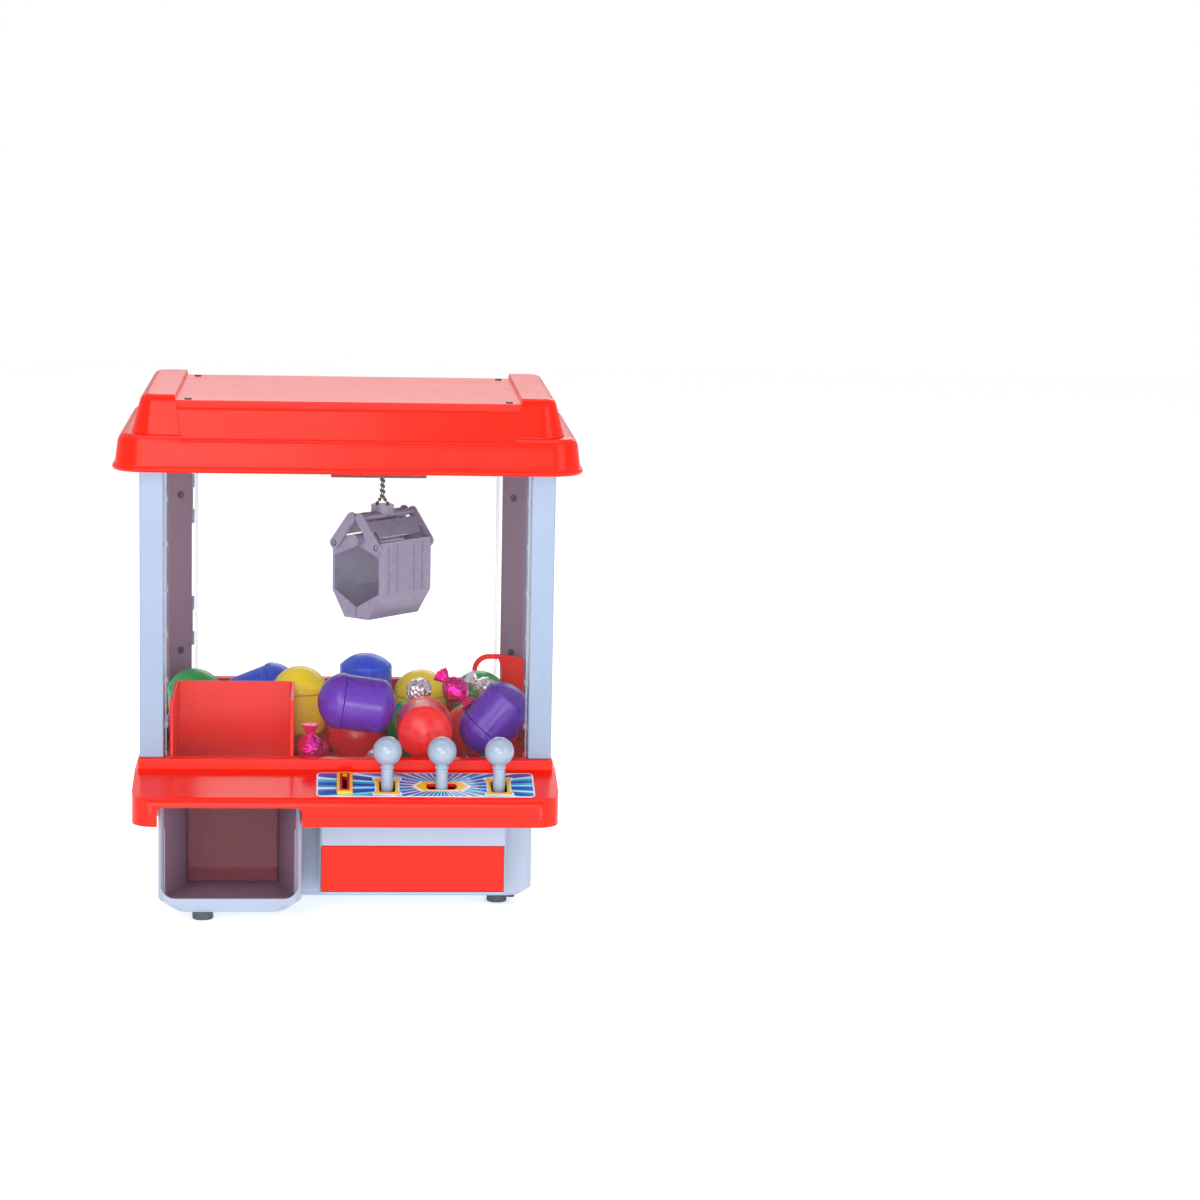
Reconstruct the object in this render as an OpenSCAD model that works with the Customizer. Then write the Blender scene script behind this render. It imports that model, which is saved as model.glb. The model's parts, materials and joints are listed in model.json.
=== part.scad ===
// Tabletop electronic claw crane machine.
// +X is to the machine's right as seen from the front, -Y is the front and Z is up from the table.

/* [Cabinet] */
// Distance between the outer faces of the left and right posts
cabinet_w = 280; // [276:1:282]
// Front faces of the front posts
cabinet_front = -73; // [-75:1:-73]
// Rear faces of the rear posts
cabinet_back = 108; // [108:1:110]
// Width of the red deck
deck_w = 286; // [284:1:290]
// Front edge of the control shelf
deck_front = -126; // [-128:1:-124]
// Width of the roof over its lip
roof_w = 317; // [314:1:322]
// Width of the grey base
base_w = 256; // [254:1:258]

/* [Heights] */
// Thickness of the rubber feet
foot_h = 6; // [5:0.5:6]
// Lower edge of the deck's skirt
skirt_z = 68; // [68:0.5:68.5]
// Front edge of the control shelf
shelf_front_z = 86.5; // [86:0.5:87]
// Rear edge of the control shelf
shelf_back_z = 97; // [96.5:0.5:98]
// Floor of the prize tray
tray_z = 86; // [85:0.5:86.5]
// Curb that the front window and the posts stand on
curb_z = 104; // [103:0.5:105]
// Side rims of the tray
rim_z = 108; // [107:0.5:109]
// Rear wall of the tray
back_wall_z = 128; // [125:1:130]
// Top of the prize partition
partition_z = 143; // [138:1:145]
// Underside of the roof's lip
lip_z = 301; // [301:0.5:302]
// Step above the roof's lip
shoulder_z = 326; // [325:0.5:327]
// Recessed flat top of the roof
roof_z = 348; // [347:0.5:349]
// Raised end ridges of the roof
ridge_z = 352; // [351:0.5:353]

/* [Wall] */
// General wall thickness
wall = 2.4; // [2.2:0.1:2.6]
// Thickness of the clear windows
window_t = 1.5; // [1.2:0.1:1.5]

/* [Crane] */
// Resting place of the hoist chain, left to right
crane_x = 24; // [22:1:26]
// Resting place of the hoist chain, front to back
crane_y = 12; // [10:1:14]
// Direction of the claw's hinge pin from +X
claw_turn = 48; // [40:1:55]
// Length of a jaw along its hinge pin
jaw_len = 53; // [50:1:53]
// Distance from the claw's middle plane to a jaw's outer face
jaw_reach = 22.5; // [22:0.5:23]

/* [Controls] */
// Centres of the three joysticks, left to right
stick_xs = [27.5, 64.3, 103];
// Joysticks' distance from the middle, front to back
stick_y = -104; // [-105:0.5:-103]
// Height of the joysticks' pivots
stick_pivot_z = 76; // [75.5:0.5:76.5]
// Height of the ball knobs' centres
knob_z = 115.4; // [114:0.2:116]
// Radius of the ball knobs
knob_r = 10; // [9:0.5:10.5]
// Centre of the token slot, left to right
token_x = -1; // [-2:0.5:0]

/* [Hidden] */

// colours
red = "#f5432f";
pale = "#b9c6da";
grey = "#9aa0b4";
lavender = "#8a8aa8";
steel = "#a9adb3";
clear = [0.85, 0.92, 0.97, 0.3];

fit = 0.06; // running clearance of pins and rods in their bores
half_w = cabinet_w / 2;

// base
plate_z = foot_h + wall;
base_back = 104;
main_front = -73;
chute_box = [[-base_w / 2 + 2.6, -123], [-29.4, -60]];
drawer_box = [[-18, -98], [108.8, -72]];
drawer_z = 15;
chute_top = 81;
flange_z = skirt_z + 2;
base_cut = [8, 6.5];
chute_cut = [11.5, 10];
base_bosses = [[-114, 92], [-114, 20], [114, -62], [114, 92]];
battery_axis = [106.8, 12];
battery_x = [-4, 106];
battery_base_knuckles = [[-4, 8], [94, 106]];
battery_door_knuckles = [[8.4, 20], [82, 93.6]];
cell_xs = [15.8, 51.2, 86.6];

// deck
deck_back = 113;
deck_r = 15;
shelf_back = -76;
rim_x = 141;
rim_back = 110;
tray_x = 129;
tray_front = -67;
tray_back = 97;
back_wall_x = 111;
back_wall_y = 104.5;
floor_under = tray_z - wall;
slope = atan((shelf_back_z - shelf_front_z) / (shelf_back - deck_front));

// prize side
well_x = [-120, -36];
well_back = 5;
door_x = [-108, -45.5];
door_y = -76;
chute_floor = 18;
flap_axis = [-79.5, 75];

// posts
post_w = 16;
front_post_d = 20;
rear_post_y = 90;
rear_post_x = 131;
rear_post_in = 113;
cover_w = 22;
cover_t = 2.2;
window_x = 135.5;
window_front = -70.3;
door_axis = [-113, 110.2];
door_post_knuckles = [[150, 160], [176, 186], [240, 250], [266, 276]];
door_knuckles = [[160.4, 175.6], [250.4, 265.6]];
screw_zs = [148, 262];
wire_y = 100;

// roof and crane
roof_front = -91;
roof_back = 126;
recess_x = 117;
roof_screw_at = [[-108, -64], [108, -64], [-108, 100], [108, 100]];
frame_top = lip_z + 3;
frame_hole = [[-117.5, -58], [117.5, 94]];
rail_x = 122;
rail_z = 312;
rail_r = 3;
rod_z = 329;
rod_r = 2.5;
rod_ys = [crane_y - 20, crane_y + 20];
tooth_pitch = PI;
gear_r = 6;
gear_teeth = 12;
bridge_gear = [131, crane_y + 37, 325];
trolley_gear = [crane_x + 8, -13.4, rod_z];
motor_r = 7.5;
shaft_r = 1;
drum_x = crane_x + 10;
drum_z = 303.5;
drum_r = 8;
trolley_bottom = 290;

// claw, measured from the chain's line
hub_z = 261;
hub_top = 268;
claw_pin_z = 245.5;
claw_pin_r = 2;
link_pivot = 4;
corner = [19.5, 242];
link_end = [19.3, 241.7];
jaw_tip_z = 190;
jaw_bend_z = 208;
arm_in = jaw_len / 2 + 0.4;
arm_out = arm_in + 1.8;
ear_outer = [jaw_len / 2 - 2, jaw_len / 2];
ear_inner = [jaw_len / 2 - 4.4, jaw_len / 2 - 2.4];

// tokens
token_y = -101;
lever_axis = [-100, 84];

// prizes: x, y, z, turn, tilt
capsules = [
  [-2, -46.8, 138.6, 0, -8], [54, -30.5, 119, -90, 0], [97, -33, 117, 0, 50], [-109, 66, 122.1, 0, -90],
  [-52, 73, 124, 180, -22], [-33, 30, 131, 0, -90], [14, 68, 116, 0, 90], [54, 68, 122.1, 0, -90],
  [47, 9, 105.8, 90, 0], [86, 12, 105.8, 0, 0], [6.5, 21, 105.8, -90, 0], [96, 64, 122.1, 0, -90],
  [-110, 25, 105.8, 0, 0]];
sweets = [
  [-25, -54, 107, 0, 90], [22, -49, 97, 90, 0], [76, -14, 141, 140, 35],
  [51, 4, 137, 80, 0], [100, 34, 132, 200, 35], [99, -56, 97, 0, 0], [-21, -20, 97.2, 90, 0]];
capsule_r = 19.5;

// ---------- shared shapes ----------

module block(low, high) translate(low) cube(high - low);

module rounded(x0, x1, y0, y1, r) {
  translate([x0 + r, y0]) square([x1 - x0 - 2 * r, y1 - y0]);
  translate([x0, y0 + r]) square([x1 - x0, y1 - y0 - 2 * r]);
  for (x = [x0 + r, x1 - r], y = [y0 + r, y1 - r]) translate([x, y]) circle(r, $fn = 32);
}

// sideways outlines: (y, z) extruded along X, (x, z) along Y, (x, y) along Z
module along_x(x0, x1) translate([x0, 0, 0]) rotate([90, 0, 90]) linear_extrude(x1 - x0) children();
module along_y(y0, y1) translate([0, y1, 0]) rotate([90, 0, 0]) linear_extrude(y1 - y0) children();
module along_z(z0, z1) translate([0, 0, z0]) linear_extrude(z1 - z0) children();

module rod_x(r, x0, x1, y, z) translate([x0, y, z]) rotate([0, 90, 0]) cylinder(r = r, h = x1 - x0, $fn = 40);
module rod_y(r, y0, y1, x, z) translate([x, y0, z]) rotate([-90, 0, 0]) cylinder(r = r, h = y1 - y0, $fn = 40);
module rod_z(r, z0, z1, x, y) translate([x, y, z0]) cylinder(r = r, h = z1 - z0, $fn = 40);

module both_sides() {
  children();
  mirror([1, 0, 0]) children();
}

// the control shelf's sloping surface, with local y up the slope
module on_shelf() translate([0, deck_front, shelf_front_z]) rotate([slope, 0, 0]) children();

// spur pinion, axis +Z, one tooth on +X
module gear(w) linear_extrude(w) {
  circle(gear_r - 1.2, $fn = 40);
  for (i = [0 : gear_teeth - 1]) rotate(i * 360 / gear_teeth)
    polygon([[gear_r - 1.7, 0.85], [gear_r + 0.8, 0.3], [gear_r + 0.8, -0.3], [gear_r - 1.7, -0.85]]);
}

// rack teeth pointing up from the pitch line, counted either side of a gap at zero
module rack_teeth(first, last) for (i = [first : last]) translate([(i + 0.5) * tooth_pitch, 0])
  polygon([[-0.85, -1.5], [0.85, -1.5], [0.3, 0.8], [-0.3, 0.8]]);

// ---------- base ----------

// box from the feet up to a height, with its lower edges cut back at the sides and the front
module cut_block(x, y, cut, top) intersection() {
  along_y(y[0], y[1]) polygon([[x[0] + cut[0], foot_h], [x[1] - cut[0], foot_h],
    [x[1], foot_h + cut[1]], [x[1], top], [x[0], top], [x[0], foot_h + cut[1]]]);
  along_x(x[0], x[1]) polygon([[y[0] + cut[0], foot_h], [y[1], foot_h], [y[1], top], [y[0], top],
    [y[0], foot_h + cut[1]]]);
}

module main_block(t) cut_block([-base_w / 2 + t, base_w / 2 - t], [main_front + t, base_back - t],
  base_cut, skirt_z);

module chute_block(t) cut_block([chute_box[0][0] + t, chute_box[1][0] - t],
  [chute_box[0][1] + t, chute_box[1][1] + t], chute_cut, skirt_z);

module base_shell() color(grey) difference() {
  union() {
    difference() {
      union() {
        main_block(0);
        chute_block(0);
      }
      block([-200, -200, 0], [200, 200, plate_z]);
    }
    block([chute_box[0][0], chute_box[0][1], skirt_z - 1], [chute_box[1][0], shelf_back, chute_top]);
    block([drawer_box[0][0], drawer_box[0][1], drawer_z], [drawer_box[1][0], drawer_box[1][1], skirt_z]);
    for (x = battery_base_knuckles) block([x[0], base_back - 3, 9.8], [x[1], battery_axis[0], 14.2]);
    for (x = battery_base_knuckles) rod_x(2.2, x[0], x[1], battery_axis[0], battery_axis[1]);
  }
  difference() {
    union() {
      difference() {
        union() {
          main_block(wall);
          chute_block(wall);
        }
        block([-200, -200, 0], [200, 200, plate_z - 0.1]);
      }
      block([chute_box[0][0] + wall, chute_box[0][1] + wall, skirt_z - 2],
        [chute_box[1][0] - wall, shelf_back + 1, chute_top + 1]);
      block([-base_w / 2 + wall, main_front + wall, skirt_z - 2],
        [base_w / 2 - wall, base_back - wall, skirt_z + 1]);
      block([drawer_box[0][0] + wall, drawer_box[0][1] + wall, drawer_z + 2],
        [drawer_box[1][0] - wall, main_front + wall + 1, skirt_z - wall]);
    }
    for (p = base_bosses) {
      rod_z(4, plate_z, 60, p[0], p[1]);
      block([min(p[0], sign(p[0]) * 127), p[1] - 1, plate_z], [max(p[0], sign(p[0]) * 127), p[1] + 1, 58]);
    }
  }
  for (p = base_bosses) rod_z(1.25, 0, 24, p[0], p[1]);
  // mouth of the prize chute
  along_y(-124, -119) rounded(-123.6, -31.2, chute_floor, chute_top + 20, 10);
  token_drop();
  // front of the token drawer
  block([-16.9, -99, 16.6], [107.9, -95, 48.9]);
  // battery bay and power switch
  block([-2, 100, 12], [104, 106, 46]);
  block([-95, 100, 26], [-81, 106, 34]);
  rod_x(1.06, battery_x[0] - 20, battery_x[1] + 20, battery_axis[0], battery_axis[1]);
}

module wire_holes() for (i = [0 : 3]) rod_z(1.2, 60, 110, -half_w + 5 + 1.8 * i, wire_y);

module base_ledge() color(grey) difference() {
  union() {
    along_z(skirt_z, flange_z) difference() {
      rounded(-deck_w / 2 + 2.6, deck_w / 2 - 2.6, deck_front + 2.6, deck_back - 2.6, deck_r - 2.6);
      translate([-base_w / 2 + wall, main_front + wall])
        square([base_w - 2 * wall, base_back - main_front - 2 * wall]);
      translate([-200, deck_front])
        square([200 + chute_box[1][0] + 3, main_front + wall + 1 - deck_front]);
    }
    along_z(62, skirt_z) difference() {
      translate([-base_w / 2 - wall, main_front + 6])
        square([base_w + 2 * wall, base_back - main_front - 6 + wall]);
      translate([-base_w / 2, main_front]) square([base_w, base_back - main_front]);
    }
  }
  wire_holes();
  token_drop();
}

// the tokens' way down into the drawer
module token_drop() block([token_x - 3, -93, 60], [token_x + 3, -78, flange_z + 1]);

module bottom_plate() color(grey) {
  difference() {
    intersection() {
      union() {
        main_block(0);
        chute_block(0);
      }
      block([-200, -200, 0], [200, 200, plate_z]);
    }
    for (p = base_bosses) rod_z(1.25, 0, 20, p[0], p[1]);
    for (i = [-3 : 3]) block([-96 + 6 * i, 34, 0], [-93 + 6 * i, 66, 20]);
  }
  for (x = [-64, -16], y = [14, 48]) rod_z(3, plate_z, 14, x, y);
}

module feet() color("#2c2c30") for (p = [[-96, -104], [105, -55], [-105, 85], [105, 85]])
  rod_z(7, 0, foot_h, p[0], p[1]);

// ---------- deck ----------

module deck() color(red) difference() {
  union() {
    intersection() {
      along_x(-deck_w / 2, deck_w / 2) polygon([[deck_front, skirt_z], [deck_front, shelf_front_z],
        [shelf_back, shelf_back_z], [deck_back, shelf_back_z], [deck_back, skirt_z]]);
      along_z(skirt_z, curb_z) rounded(-deck_w / 2, deck_w / 2, deck_front, deck_back, deck_r);
    }
    difference() {
      block([-rim_x, shelf_back, shelf_back_z - 4], [rim_x, rim_back, rim_z]);
      block([-200, -200, curb_z], [200, -52, 200]);
      block([-200, 89, curb_z], [200, 200, 200]);
    }
  }
  tray_hollow();
  deck_underside();
  wire_holes();
  // chute mouth and panel slots
  block([-125.6, deck_front - 1, skirt_z - 1], [-29.2, deck_front + 3, chute_top]);
  stick_slots(10.5, 5.6);
  block([token_x - 2.2, token_y - 14, 60], [token_x + 2.2, token_y + 14, 110]);
}

// open space of the tray, with pads left under the posts
module tray_hollow() difference() {
  union() {
    block([-tray_x, tray_front, floor_under], [tray_x, tray_back, 200]);
    block([-back_wall_x, tray_back - 1, shelf_back_z], [back_wall_x, back_wall_y, 200]);
  }
  post_pads();
}

module post_pads() both_sides() {
  block([half_w - 19, shelf_back, floor_under - 1], [half_w, cabinet_front + front_post_d + 2, curb_z]);
  along_z(floor_under - 1, curb_z)
    polygon([[129, 88], [141, 88], [141, rim_back], [back_wall_x, rim_back], [back_wall_x, 106]]);
}

module deck_underside() {
  intersection() {
    along_x(-deck_w / 2 + wall, deck_w / 2 - wall) polygon([[deck_front + wall, skirt_z - 1],
      [deck_front + wall, shelf_front_z - wall + 0.5], [shelf_back, shelf_back_z - wall],
      [tray_front - wall, shelf_back_z - wall], [tray_front - wall, floor_under],
      [deck_back - wall, floor_under], [deck_back - wall, skirt_z - 1]]);
    along_z(skirt_z - 1, curb_z) rounded(-deck_w / 2 + wall, deck_w / 2 - wall,
      deck_front + wall, deck_back - wall, deck_r - wall);
  }
  both_sides() block([tray_x + wall, -49, 80], [rim_x - wall, 86, rim_z - wall]);
}

// floor, back wall and the arched screen across the right rear corner
module tray() color(red) {
  difference() {
    union() {
      block([-tray_x, tray_front, floor_under], [tray_x, tray_back, tray_z]);
      block([-back_wall_x, tray_back - 1.4, floor_under], [back_wall_x, tray_back, back_wall_z]);
      block([-back_wall_x, tray_back - 1.4, shelf_back_z], [back_wall_x, back_wall_y, back_wall_z]);
    }
    post_pads();
    block([well_x[0] + 4, tray_front + 2, 60], [well_x[1] - 4, well_back - 4, 100]);
    block([-back_wall_x + wall, tray_back + 1, 80],
      [back_wall_x - wall, back_wall_y - wall, back_wall_z - wall]);
  }
  intersection() {
    along_z(floor_under + 1, 150) polygon([[92, 94], [92, 96.4], [112.6, 96.4], [128.8, 80.2],
      [128.8, 76.8], [111.6, 94]]);
    along_y(70, 100) difference() {
      hull() {
        translate([92, tray_z - 2]) square([40, 20]);
        translate([104, 135]) circle(12, $fn = 48);
        translate([110, 120]) square([22, 27]);
      }
      hull() {
        translate([95.4, 120]) square([15.6, 2]);
        translate([104.4, 134.5]) circle(9, $fn = 48);
        translate([109, 120]) square([2, 23.5]);
      }
    }
  }
}

// slots for the sticks: the middle one runs left to right
module stick_slots(long, narrow) for (i = [0 : 2]) {
  across = i == 1;
  dx = across ? long : narrow;
  dy = across ? narrow : long;
  along_z(60, 120) rounded(stick_xs[i] - dx, stick_xs[i] + dx, stick_y - dy, stick_y + dy, 4);
}

module control_sheet() color("#28b4e6") difference() {
  on_shelf() along_z(0, 0.4) rounded(-20, 127, 6, 45, 4);
  stick_slots(10.2, 5.4);
  block([token_x - 2.2, token_y - 14, 60], [token_x + 2.2, token_y + 14, 110]);
}

module token_bezel() color("#ffd21e") difference() {
  on_shelf() along_z(0.4, 3) rounded(token_x - 5.5, token_x + 5.5, 9, 42, 3);
  block([token_x - 1.7, token_y - 13, 60], [token_x + 1.7, token_y + 13, 120]);
}

// ---------- prize side ----------

module prize_partition() color(red) along_z(tray_z, partition_z) difference() {
  translate([well_x[0], tray_front]) square([well_x[1] - well_x[0], well_back - tray_front]);
  translate([well_x[0] + wall, tray_front - 1])
    square([well_x[1] - well_x[0] - 2 * wall, well_back - tray_front - wall + 1]);
}

module prize_chute() color(grey) {
  difference() {
    union() {
      // well and pocket walls
      block([-119.4, door_y, chute_floor - 1.8], [-36.6, 5.4, floor_under - 0.2]);
      along_z(chute_floor - 1.8, chute_top)
        polygon([[-122.8, -120.4], [-32, -120.4], [-42, door_y + 1], [-111.5, door_y + 1]]);
    }
    block([-117, door_y + 2, chute_floor], [-39, 3, floor_under + 1]);
    along_z(chute_floor, chute_top - 1.2)
      polygon([[-121.6, -121], [-33.2, -121], [door_x[1], door_y], [door_x[0], door_y]]);
    block([door_x[0], door_y - 1, chute_floor], [door_x[1], door_y + 3, 79]);
    rod_x(1.25, -111.2, -42.8, flap_axis[0], flap_axis[1]);
  }
  // ramp that turns the prize towards the door
  along_x(-117, -39) polygon([[-33, chute_floor], [3, 56], [3, 53], [-30, chute_floor]]);
}

module prize_flap() color(clear) difference() {
  union() {
    rod_x(2.4, -107.5, -46, flap_axis[0], flap_axis[1]);
    block([-107, flap_axis[0] - 0.8, 20], [-46.5, flap_axis[0] + 0.8, flap_axis[1]]);
  }
  rod_x(1.2 + fit, -108, -45, flap_axis[0], flap_axis[1]);
}

// pins of the flap, the battery door, the rear door, the joysticks and the token lever
module pins() color(steel) {
  rod_x(1.2, -111, -43, flap_axis[0], flap_axis[1]);
  rod_x(1, battery_x[0], battery_x[1], battery_axis[0], battery_axis[1]);
  for (z = [150, 240]) rod_z(0.9, z, z + 36, door_axis[0], door_axis[1]);
  for (i = [0 : 2]) at_stick(i) rod_x(1.5, -10.8, 10.8, 0, stick_pivot_z);
  rod_x(0.8, token_x - 3.4, token_x + 3.4, lever_axis[0], lever_axis[1]);
}

// ---------- tokens and drawer ----------

module token_duct() color(grey) difference() {
  union() {
    for (x = [token_x - 3.4, token_x + 2.2]) along_x(x, x + 1.2)
      polygon([[-114, 78.6], [-93, 70.1], [-93, 88], [-114, 84]]);
    along_x(token_x - 2.4, token_x + 2.4) polygon([[-114, 80], [-93, 71.5], [-93, 70.1], [-114, 78.6]]);
  }
  rod_x(0.86, -20, 20, lever_axis[0], lever_axis[1]);
}

module token_lever() color("#e8e8ea") difference() {
  union() {
    rod_x(2, token_x - 1.8, token_x + 1.8, lever_axis[0], lever_axis[1]);
    block([token_x - 1.5, lever_axis[0] - 0.9, 76.4], [token_x + 1.5, lever_axis[0] + 0.9, lever_axis[1]]);
  }
  rod_x(0.8 + fit, -20, 20, lever_axis[0], lever_axis[1]);
}

module token_drawer() color(red) difference() {
  union() {
    block([-16.4, -98, 17.1], [107.4, -95.9, 48.4]);
    block([-12, -96, 20], [103, -24, 44]);
  }
  block([-10, -93.9, 22], [101, -26, 60]);
}

module drawer_runners() color(pale) for (x = [-13, 100]) {
  block([x, -95, drawer_z + 2], [x + 4, -20, 19.4]);
  block([x, -60, plate_z], [x + 4, -20, drawer_z + 3]);
}

// ---------- joysticks ----------

// turns a shape made for a stick that tips front to back into the one for stick i
module at_stick(i) translate([stick_xs[i], stick_y, 0]) rotate(i == 1 ? 90 : 0) children();

module joystick_mounts() color(pale) for (i = [0 : 2]) at_stick(i) difference() {
  union() {
    block([-10.8, -4.5, flange_z], [10.8, 4.5, flange_z + 1]);
    for (x = [-10.8, 8.8]) block([x, -4.5, flange_z], [x + 2, 4.5, stick_pivot_z + 4]);
  }
  rod_x(1.55, -12, 12, 0, stick_pivot_z);
}

module joystick(i) color("#e9edf2") at_stick(i) difference() {
  union() {
    rod_x(4.2, -8.4, 8.4, 0, stick_pivot_z);
    rod_z(4, stick_pivot_z, knob_z - 4.2, 0, 0);
  }
  rod_x(1.5 + fit, -12, 12, 0, stick_pivot_z);
}

module joystick_1() joystick(0);
module joystick_2() joystick(1);
module joystick_3() joystick(2);

module knob(i) color("#dfe8f0") at_stick(i) difference() {
  translate([0, 0, knob_z]) sphere(knob_r, $fn = 48);
  rod_z(4.05, knob_z - 12, knob_z - 4, 0, 0);
}

module knob_1() knob(0);
module knob_2() knob(1);
module knob_3() knob(2);

module leaf_switches() color("#c9a24b") for (i = [0 : 2], s = [-1, 1]) at_stick(i)
  block([-2.5, s * 6.8 - 0.6, flange_z], [2.5, s * 6.8 + 0.6, 84]);

// ---------- electrics in the base ----------

module control_board() color("#2f7d4a") {
  block([-70, 8, 14], [-10, 54, 15.6]);
  block([-50, 24, 15.6], [-34, 36, 19]);
  for (x = [-64, -22]) block([x, 12, 15.6], [x + 8, 20, 24]);
  for (x = [-60, -46, -32, -20]) rod_z(2.5, 15.6, 26, x, 46);
}

module speaker() color("#3a3a40") {
  rod_z(20, plate_z, 11, -94, 50);
  rod_z(12, 11, 22, -94, 50);
}

module battery_box() color(pale) difference() {
  block([-4, 36, plate_z], [106.4, 101.5, 46.5]);
  block([-2, 38, plate_z + 2], [104.4, 110, 44.5]);
}

module battery_cells() color("#5c6b7a") for (x = cell_xs) {
  rod_y(16.3, 40.2, 98, x, 27.4);
  rod_y(4.5, 98, 99.6, x, 27.4);
}

module battery_contacts() color(steel) for (x = cell_xs) {
  block([x - 8, 38, 20], [x + 8, 38.5, 35]);
  rod_y(5, 38.5, 40, x, 27.4);
}

module battery_door() color(grey) difference() {
  union() {
    block([battery_x[0], 104.4, 15], [battery_x[1], 106.6, 48.5]);
    for (x = battery_door_knuckles) {
      rod_x(2.2, x[0], x[1], battery_axis[0], battery_axis[1]);
      block([x[0], 104.6, 12], [x[1], 106.8, 16]);
    }
    block([40, 106.6, 44], [62, 108.4, 47]);
  }
  rod_x(1 + fit, battery_x[0] - 1, battery_x[1] + 1, battery_axis[0], battery_axis[1]);
}

module power_switch() color("#2c2c30") {
  block([-92.5, 99, 27], [-87, 104.2, 33]);
  block([-91, 104.2, 28.5], [-88.5, 106.5, 31.5]);
}

// ---------- posts and windows ----------

module front_posts() color(pale) both_sides() along_z(curb_z, lip_z) difference() {
  translate([half_w - post_w, cabinet_front]) square([post_w, front_post_d]);
  translate([half_w - post_w + 5, cabinet_front + wall]) square([post_w - 5 - wall, front_post_d - 5.5 - wall]);
  translate([half_w - post_w - 1, window_front - 0.15]) square([4, window_t + 0.3]);
  translate([window_x - 0.15, cabinet_front + front_post_d - 4]) square([window_t + 0.3, 5]);
}

module rear_post_outline() difference() {
  polygon([[half_w, rear_post_y], [half_w, cabinet_back], [rear_post_in, cabinet_back],
    [rear_post_x, rear_post_y]]);
  polygon([[half_w - wall, rear_post_y + wall], [half_w - wall, cabinet_back - wall],
    [rear_post_in + 5.8, cabinet_back - wall], [rear_post_x + 1, rear_post_y + wall]]);
  translate([window_x - 0.15, rear_post_y - 1]) square([window_t + 0.3, 4]);
}

// local x runs along the rear post's slanted inner face and local y out of it
module on_slant() translate([(rear_post_x + rear_post_in) / 2, (rear_post_y + cabinet_back) / 2, 0])
  rotate(135) children();

module rear_posts() color(pale) difference() {
  union() {
    both_sides() along_z(curb_z, lip_z) rear_post_outline();
    for (z = door_post_knuckles) {
      rod_z(2, z[0], z[1], door_axis[0], door_axis[1]);
      block([door_axis[0] - 5, cabinet_back - 0.5, z[0]], [door_axis[0], door_axis[1], z[1]]);
    }
  }
  both_sides() for (z = screw_zs) on_slant() rod_y(1.25, -5, 5, 0, z);
  rod_z(0.95, 140, 290, door_axis[0], door_axis[1]);
}

module post_covers() color(pale) both_sides() difference() {
  on_slant() block([-cover_w / 2, 0, curb_z + 4], [cover_w / 2, cover_t, lip_z - 2]);
  for (z = screw_zs) on_slant() rod_y(1.25, -5, 5, 0, z);
}

module post_wires() color("#3c3c46") for (i = [0 : 3])
  rod_z(0.8, 60, lip_z + 20, -half_w + 5 + 1.8 * i, wire_y);

module front_window() color(clear) {
  block([-126.2, window_front, curb_z], [126.2, window_front + window_t, lip_z - 0.4]);
}

module side_windows() color(clear) both_sides()
  block([window_x, -55.4, rim_z], [window_x + window_t, 92, lip_z - 0.4]);

module rear_door() color(clear) difference() {
  union() {
    block([-111.4, 105.2, 122], [111.4, 106.7, 299]);
    for (z = door_knuckles) {
      rod_z(2, z[0], z[1], door_axis[0], door_axis[1]);
      block([door_axis[0], 108.2, z[0]], [-106, 110.2, z[1]]);
      block([-111, 106.7, z[0]], [-106, 108.2, z[1]]);
    }
    block([98, 106.7, 200], [106, 110, 224]);
  }
  rod_z(0.9 + fit, 140, 290, door_axis[0], door_axis[1]);
}

// ---------- roof ----------

module roof_step(z0, z1, x, y0, y1, r) along_z(z0, z1) rounded(-x, x, y0, y1, r);

// the roof's outer form, moved in by t
module roof_form(t) {
  hull() {
    roof_step(lip_z - (t > 0 ? 1 : 0), lip_z + 3, roof_w / 2 - t, roof_front + t, roof_back - t, 22 - t);
    roof_step(shoulder_z - 3 - t, shoulder_z - t, roof_w / 2 - 4 - t, roof_front + 4 + t,
      roof_back - 4 - t, 21 - t);
  }
  hull() {
    roof_step(shoulder_z - 6, shoulder_z, roof_w / 2 - 13 - t, roof_front + 9 + t, roof_back - 9 - t, 14 - t);
    roof_step(ridge_z - 2 - t, ridge_z - t, roof_w / 2 - 21 - t, roof_front + 17 + t,
      roof_back - 17 - t, 10 - t);
  }
}

// sunk front panel and flat top between the end ridges
module roof_recess(t) along_x(-recess_x - t, recess_x + t) polygon([[roof_front - 5, 322 - t],
  [-83 + t, 322 - t], [-77 + t, 342 - t], [-71 + t, roof_z - t], [140, roof_z - t],
  [140, roof_z + 20], [roof_front - 5, roof_z + 20]]);

module roof_shell() color(red) difference() {
  roof_form(0);
  roof_recess(0);
  difference() {
    roof_form(wall + 0.1);
    roof_recess(wall);
  }
  for (p = roof_screw_at) rod_z(1.7, 330, 360, p[0], p[1]);
}

module screws() color(steel) {
  for (p = base_bosses) {
    rod_z(3, foot_h - 1.4, foot_h, p[0], p[1]);
    rod_z(1.2, foot_h - 1, 22, p[0], p[1]);
  }
  both_sides() for (z = screw_zs) on_slant() {
    rod_y(2.6, cover_t, cover_t + 1.2, 0, z);
    rod_y(1.2, -1.6, cover_t + 0.5, 0, z);
  }
  for (p = roof_screw_at) {
    rod_z(2.4, roof_z, roof_z + 0.9, p[0], p[1]);
    rod_z(1.6, roof_z - 12, roof_z + 0.5, p[0], p[1]);
  }
}

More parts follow.
